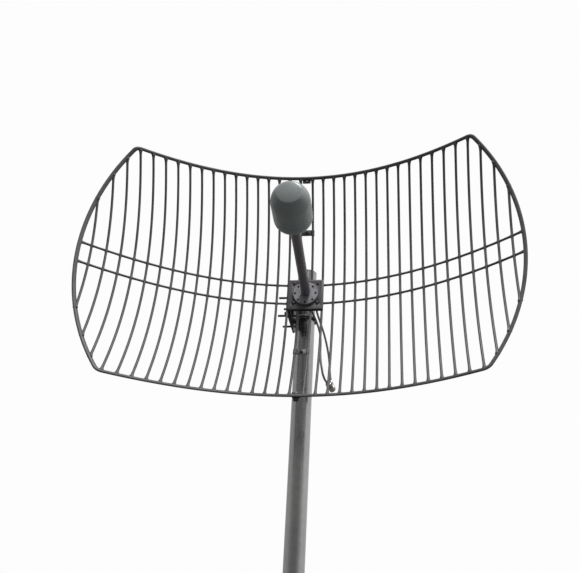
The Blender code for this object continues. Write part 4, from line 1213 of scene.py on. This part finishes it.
def makeBracket():
    thick, front, left = bracket["thickness"], bracket["front"], bracket["left"]
    low, high, bend = bracket["low"], bracket["high"], bracket["bend"]
    top = bracket["flangeHigh"]
    corners = [(left + bend, low), (bracket["right"], low), (bracket["right"], high), (left, high),
               (left, top), (left + bend, top)]
    spare, sides = bracket["holes"], bracket["holeSides"]
    holes = [circle((hub["x"] + sx * hub["slotX"], sz * hub["slotZ"]), hub["boltRadius"] + spare, sides)
             for sx in (-1, 1) for sz in (-1, 1)]
    middle = Matrix.Translation((0, front + thick / 2, 0))
    leg = moved(flatPlate("leg", corners, thick, holes), middle @ upright)

    centre, steps = (left + bend, front + bend), bracket["bendSteps"]
    arc = arcPoints(centre, bend, -math.pi / 2, -math.pi, steps)
    arc += arcPoints(centre, bend - thick, -math.pi, -math.pi / 2, steps)
    corner = flatPlate("corner", arc, top - low, bevel=bracket["bendBevel"])
    corner = moved(corner, Matrix.Translation((0, 0, (top + low) / 2)))

    pivot, lock = Vector(bracket["pivot"]), Vector(bracket["lock"])
    reach = lock - pivot
    start = math.atan2(reach.y, reach.x)
    past, cut = bracket["slotSpare"], bracket["noseCut"]
    near, back, bottom = front + bend, bracket["flangeBack"], bracket["flangeLow"]
    outline = [(near, low), (near, bottom + cut), (near + bracket["noseStep"], bottom),
               (pivot.x + cut, bottom), (back, pivot.y), (back, lock.y + bracket["lockMargin"]),
               (near, top)]
    slots = [circle(pivot, pivotRadius + spare),
             arcSlot(pivot, start - past, start + bracket["travel"] + past, reach.length,
                     2 * (lockRadius + spare))]
    flange = moved(flatPlate("flange", outline, thick, slots),
                   Matrix.Translation((left + thick / 2, 0, 0)) @ sideways)
    makePiece("tiltBracket", [(leg, "darkSteel"), (corner, "darkSteel"), (flange, "darkSteel")],
              "antenna", "dark_steel", "tilt_bracket")


makeBracket()
print("bracket made")


# Mast clamp: plate, saddles, U-bolts with nuts, and the bracket's two bolts

clamp = {
    "faceX": -0.0385,
    "thickness": 0.004,
    "low": -0.054,
    "high": 0.045,
    "front": 0.0115,
    "margin": 0.012,
    "corner": 0.004,
    "cutY": 0.112,
    "cutLow": -0.050,
    "cutHigh": -0.035,
    "boltRadius": 0.003,
    "boltHalfWidth": 0.0305,
    "boltHeight": 0.0255,
    "frontEnd": -0.075,
    "rearEnd": -0.071,
    "pitch": 0.001,
    "threaded": 0.030,
    "nutFlats": 0.005,
    "nutHeight": 0.005,
    "washerRadius": 0.0065,
    "washerHeight": 0.0012,
    "saddleHalfHeight": 0.004,
    "saddleHalfWidth": 0.0085,
    "teeth": 8,
    "toothDepth": 0.0010,
    "saddleBevel": 0.0002,
    "saddleSharpFrom": 25,
    "plateBevel": 0.0005,
    "bendSteps": 45,
    "bore": 0.0003,
    "boltFlats": 1.55,  # the bracket's two bolts, as shares of their own radius
    "boltHead": 1.15,
    "boltNut": 1.5,
    "boltPast": 0.0105,
    "boltThreaded": 0.012,
}
mast = {
    "radius": 0.02415,
    "wall": 0.0032,
    "edge": 0.0005,
    "foot": 0.0103,
    "length": 1.5,
    "rings": 60,
    "sides": 128,
    "plateSide": 0.16,
    "plateThickness": 0.01,
    "plateCorner": 0.008,
    "plateBevel": 0.0008,
    "holeRadius": 0.007,
    "holePitch": 0.12,
}
mastCap = {"thickness": 0.002, "plug": 0.018, "plugLead": 0.001, "plugStep": 0.0002, "bevel": 0.0004,
           "shoulder": (0.0012, 0.9), "crown": 0.004}
weld = {
    "profile": [(0.0060, 0), (0.0048, 0.0022), (0.0026, 0.0042), (0.0008, 0.0060)],  # out of the tube, up
    "height": 0.0062,
    "sink": 0.0002,
    "ripple": 0.0003,
    "rippleFrom": 0.001,
    "ripples": 46,
    "sides": 184,
}


def saddleOutline():
    left, wide, radius = clamp["faceX"] + gap, clamp["saddleHalfWidth"], mast["radius"] + gap
    spread = math.asin(wide / radius)
    points = [(left, mastY - wide)]
    count = clamp["teeth"] * 2
    for n in range(count + 1):
        angle = math.pi + spread - 2 * spread * n / count
        reach = radius + (clamp["toothDepth"] if n % 2 else 0)
        points.append((mastX + reach * math.cos(angle), mastY + reach * math.sin(angle)))
    return points + [(left, mastY + wide)]


def makeClamp():
    pivot, lock = Vector(bracket["pivot"]), Vector(bracket["lock"])
    back = mastY + clamp["boltHalfWidth"] + clamp["margin"]
    slopeBack = clamp["front"] + (clamp["high"] - pivot.y) * math.tan(bracket["travel"])
    outline = [(clamp["front"], clamp["low"]), (clamp["cutY"], clamp["cutLow"]), (back, clamp["cutHigh"]),
               (back, clamp["high"]), (slopeBack, clamp["high"]), (clamp["front"], pivot.y)]
    spare = bracket["holes"]
    radius, half = clamp["boltRadius"], clamp["boltHalfWidth"]
    faceX, thick = clamp["faceX"], clamp["thickness"]
    holes = [circle((mastY + sy * half, sz * clamp["boltHeight"]), radius + spare)
             for sy in (-1, 1) for sz in (-1, 1)]
    holes += [circle(pivot, pivotRadius + spare), circle(lock, lockRadius + spare)]
    outline = roundedCorners(outline, clamp["corner"])
    plate = flatPlate("plate", outline, thick, holes, clamp["plateBevel"])
    plate = moved(plate, Matrix.Translation((faceX - thick / 2, 0, 0)) @ sideways)
    makePiece("clampPlate", [(plate, "darkSteel")], "clamp", "dark_steel", "clamp_plate")

    bendX = mastX + mast["radius"] + gap + radius - half
    outer = faceX - thick - gap
    for word, sign in (("upper", 1), ("lower", -1)):
        z = sign * clamp["boltHeight"]
        height, bevel = 2 * clamp["saddleHalfHeight"], clamp["saddleBevel"]
        saddle = flatPlate("saddle", saddleOutline(), height, bevel=bevel)
        saddle = moved(saddle, Matrix.Translation((0, 0, z)))
        name, sharp = "saddle" + word.title(), clamp["saddleSharpFrom"]
        makePiece(name, [(saddle, "darkSteel")], "clamp", "dark_steel", "saddle_" + word, sharp=sharp)

        threaded = clamp["threaded"]
        count = round(threaded / clamp["pitch"] * rodShape["turnSteps"])
        path = [(clamp["frontEnd"] + threaded * n / count, mastY - half) for n in range(count + 1)]
        path += arcPoints((bendX, mastY), half, -math.pi / 2, math.pi / 2, clamp["bendSteps"])
        path += [(clamp["rearEnd"] + threaded * (1 - n / count), mastY + half) for n in range(count + 1)]
        path = [(x, y, z) for x, y in path]
        total = sum((Vector(b) - Vector(a)).length for a, b in zip(path, path[1:]))

        def radiusAt(run, angle):
            cuts = [thread(radius, clamp["pitch"], first, last, run, angle)
                    for first, last in ((-1, threaded), (total - threaded, total + 1))]
            return min(rodTip(radius, min(run, total - run)), *cuts)
        shapes = [(swept("rod", path, rodShape["sides"], radiusAt), "boltSteel")]
        for side in (-1, 1):
            place = pointing((outer, mastY + side * half, z), (-1, 0, 0))
            ring = washer("ring", clamp["washerRadius"], radius + clamp["bore"], clamp["washerHeight"])
            nut = hexBlock("nut", clamp["nutFlats"], clamp["nutHeight"], radius + clamp["bore"])
            lifted = place @ Matrix.Translation((0, 0, clamp["washerHeight"]))
            shapes += [(moved(ring, place), "boltSteel"), (moved(nut, lifted), "boltSteel")]
        makePiece("uBolt" + word.title(), shapes, "clamp", "zinc_plate", "u_bolt_" + word,
                  "nut_%s_front" % word, "nut_%s_rear" % word)

    inner = faceX + gap + bracket["thickness"] + gap
    for word, centre, size in (("pivot", pivot, pivotRadius), ("lock", lock, lockRadius)):
        length, flats = inner - outer + clamp["boltPast"], size * clamp["boltFlats"]
        place = pointing((inner, *centre), (1, 0, 0))
        head = moved(hexBlock("head", flats, size * clamp["boltHead"]), place)
        shank = moved(rod("shank", length, size, clamp["pitch"], clamp["boltThreaded"]), place)
        nut = hexBlock("nut", flats, size * clamp["boltNut"], size + clamp["bore"])
        nut = moved(nut, pointing((outer, *centre), (-1, 0, 0)))
        shapes = [(mesh, "boltSteel") for mesh in (head, shank, nut)]
        makePiece(word + "Bolt", shapes, "clamp", "zinc_plate", word + "_bolt", word + "_nut")


makeClamp()
print("clamp made")


# Mast: drawn tube, dark cap, foot plate with a weld round the tube

def makeMast():
    r, wall, low, edge, sides = (mast[key] for key in ("radius", "wall", "foot", "edge", "sides"))
    top, unmoved = low + mast["length"], Matrix.Identity(4)
    straight, count = mast["length"] - 2 * edge, mast["rings"]
    rings = [(r, low + edge + straight * n / count) for n in range(count + 1)]
    profile = [(r - wall, low + edge), (r - wall + edge, low), (r - edge, low), *rings,
               (r - edge, top), (r - wall + edge, top), (r - wall, top - edge)]
    tube = turned("tube", profile, sides, True)
    makePiece("mastPole", [(tube, "poleSteel")], "mast", "pole_steel", "mast_pole", place=unmoved)

    thick, lead, bevel = mastCap["thickness"], mastCap["plugLead"], mastCap["bevel"]
    plug, base, (inset, rise) = r - wall - gap, top + gap, mastCap["shoulder"]
    bottom, roof = base - mastCap["plug"], base + thick
    profile = [(0, bottom), (plug - lead, bottom), (plug, bottom + lead),
               (plug, base - mastCap["plugStep"]), (plug, base), (r - bevel, base), (r, base + bevel),
               (r, base + thick / 2), (r - inset, base + thick * rise), (r - mastCap["crown"], roof),
               (0, roof)]
    cap = turned("cap", profile, sides)
    makePiece("mastCap", [(cap, "blackPlastic")], "mast", "black_plastic", "mast_cap", place=unmoved)

    half, pitch = mast["plateSide"] / 2, mast["holePitch"] / 2
    corners = [(-half, -half), (half, -half), (half, half), (-half, half)]
    holes = [circle((x * pitch, y * pitch), mast["holeRadius"]) for x in (-1, 1) for y in (-1, 1)]
    thick = mast["plateThickness"]
    outline = roundedCorners(corners, mast["plateCorner"])
    plate = flatPlate("plate", outline, thick, holes, mast["plateBevel"])
    plate = moved(plate, Matrix.Translation((0, 0, thick / 2)))

    def rippled(angle, reach, height):
        wave = weld["ripple"] * math.sin(angle * weld["ripples"])
        return reach + (wave if reach > r + weld["rippleFrom"] else 0)
    foot = thick - weld["sink"]
    profile = [(r + gap, foot), *[(r + out, foot + up) for out, up in weld["profile"]],
               (r + gap, foot + weld["height"])]
    bead = turned("weld", profile, weld["sides"], True, rippled)
    shapes = [(plate, "poleSteel"), (bead, "darkSteel")]
    makePiece("mastFoot", shapes, "mast", "pole_steel", "mast_foot_plate", place=unmoved)


makeMast()
print("mast made")


# Floor, sky and light. The sky is white to the sides, behind and above, and darker in front and below

stage = {
    "floorSize": 40.0,
    "floorTone": (0.88, 0.875, 0.86),
    "floorOther": 0.96,
    "floorPatch": (3.0, 0.2),
    "floorRough": 0.8,
    "background": 0.98,
    "front": 0.222,
    "below": 0.255,
    "left": 0.465,
    "right": 0.735,
    "topLight": 51.0,
    "topLightSize": 0.8,
    "topLightPlace": (0.55, -1.3, 3.6),
    "topLightAim": (0, -0.1, 1.3),
    "sideEdges": (-0.6, 0.1),  # how far round or up each change of the sky runs
    "frontEdges": (-0.9, -0.2),
    "levelEdges": (-0.10, 0.10),
}


def makeFloor():
    body = bmesh.new()
    bmesh.ops.create_grid(body, x_segments=1, y_segments=1, size=stage["floorSize"] / 2)
    mesh = bpy.data.meshes.new("floor")
    body.to_mesh(mesh)
    body.free()
    material = bpy.data.materials.new("floorTone")
    material.use_nodes = True
    tree = material.node_tree
    shader = tree.nodes["Principled BSDF"]
    tone, (scale, spread) = stage["floorTone"], stage["floorPatch"]
    other = [c * stage["floorOther"] for c in tone]
    patches = useGroup(tree, "blotches", Tone=(*tone, 1), Other_Tone=(*other, 1), Scale=scale,
                       Spread=spread)
    link(tree, patches["Colour"], shader.inputs["Base Color"])
    shader.inputs["Roughness"].default_value = stage["floorRough"]
    mesh.materials.append(material)
    floor = bpy.data.objects.new("floor", mesh)
    floor.location.z = -gap
    floor.visible_diffuse = False
    floor.visible_glossy = False
    bpy.context.scene.collection.objects.link(floor)


def makeSky():
    world = bpy.data.worlds.new("sky")
    world.use_nodes = True
    bpy.context.scene.world = world
    tree = world.node_tree
    place = addNode(tree, "ShaderNodeTexCoord").outputs["Generated"]
    way = addNode(tree, "ShaderNodeSeparateXYZ", {0: place}).outputs
    side = stretch(tree, way[0], *stage["sideEdges"], stage["left"], stage["right"])
    front = stretch(tree, way[1], *stage["frontEdges"], stage["front"], side)
    level = stretch(tree, way[2], *stage["levelEdges"], stage["below"], 1.0)
    glow = calc(tree, "MULTIPLY", front, level)
    seen = addNode(tree, "ShaderNodeLightPath").outputs["Is Camera Ray"]
    shown = addNode(tree, "ShaderNodeMix", {0: seen, 2: glow, 3: stage["background"]}).outputs[0]
    background = tree.nodes["Background"]
    link(tree, shown, background.inputs["Strength"])
    background.inputs["Color"].default_value = (1.0, 1.0, 1.0, 1)


def makeTopLight():
    lamp = bpy.data.lights.new("topLight", "AREA")
    lamp.shape = "DISK"
    lamp.size = stage["topLightSize"]
    lamp.energy = stage["topLight"]
    holder = bpy.data.objects.new("topLight", lamp)
    holder.location = stage["topLightPlace"]
    way = Vector(stage["topLightAim"]) - Vector(stage["topLightPlace"])
    holder.rotation_euler = way.to_track_quat("-Z", "Y").to_euler()
    bpy.context.scene.collection.objects.link(holder)


makeFloor()
makeSky()
makeTopLight()
bpy.context.scene.view_settings.view_transform = "Standard"
print("stage made")
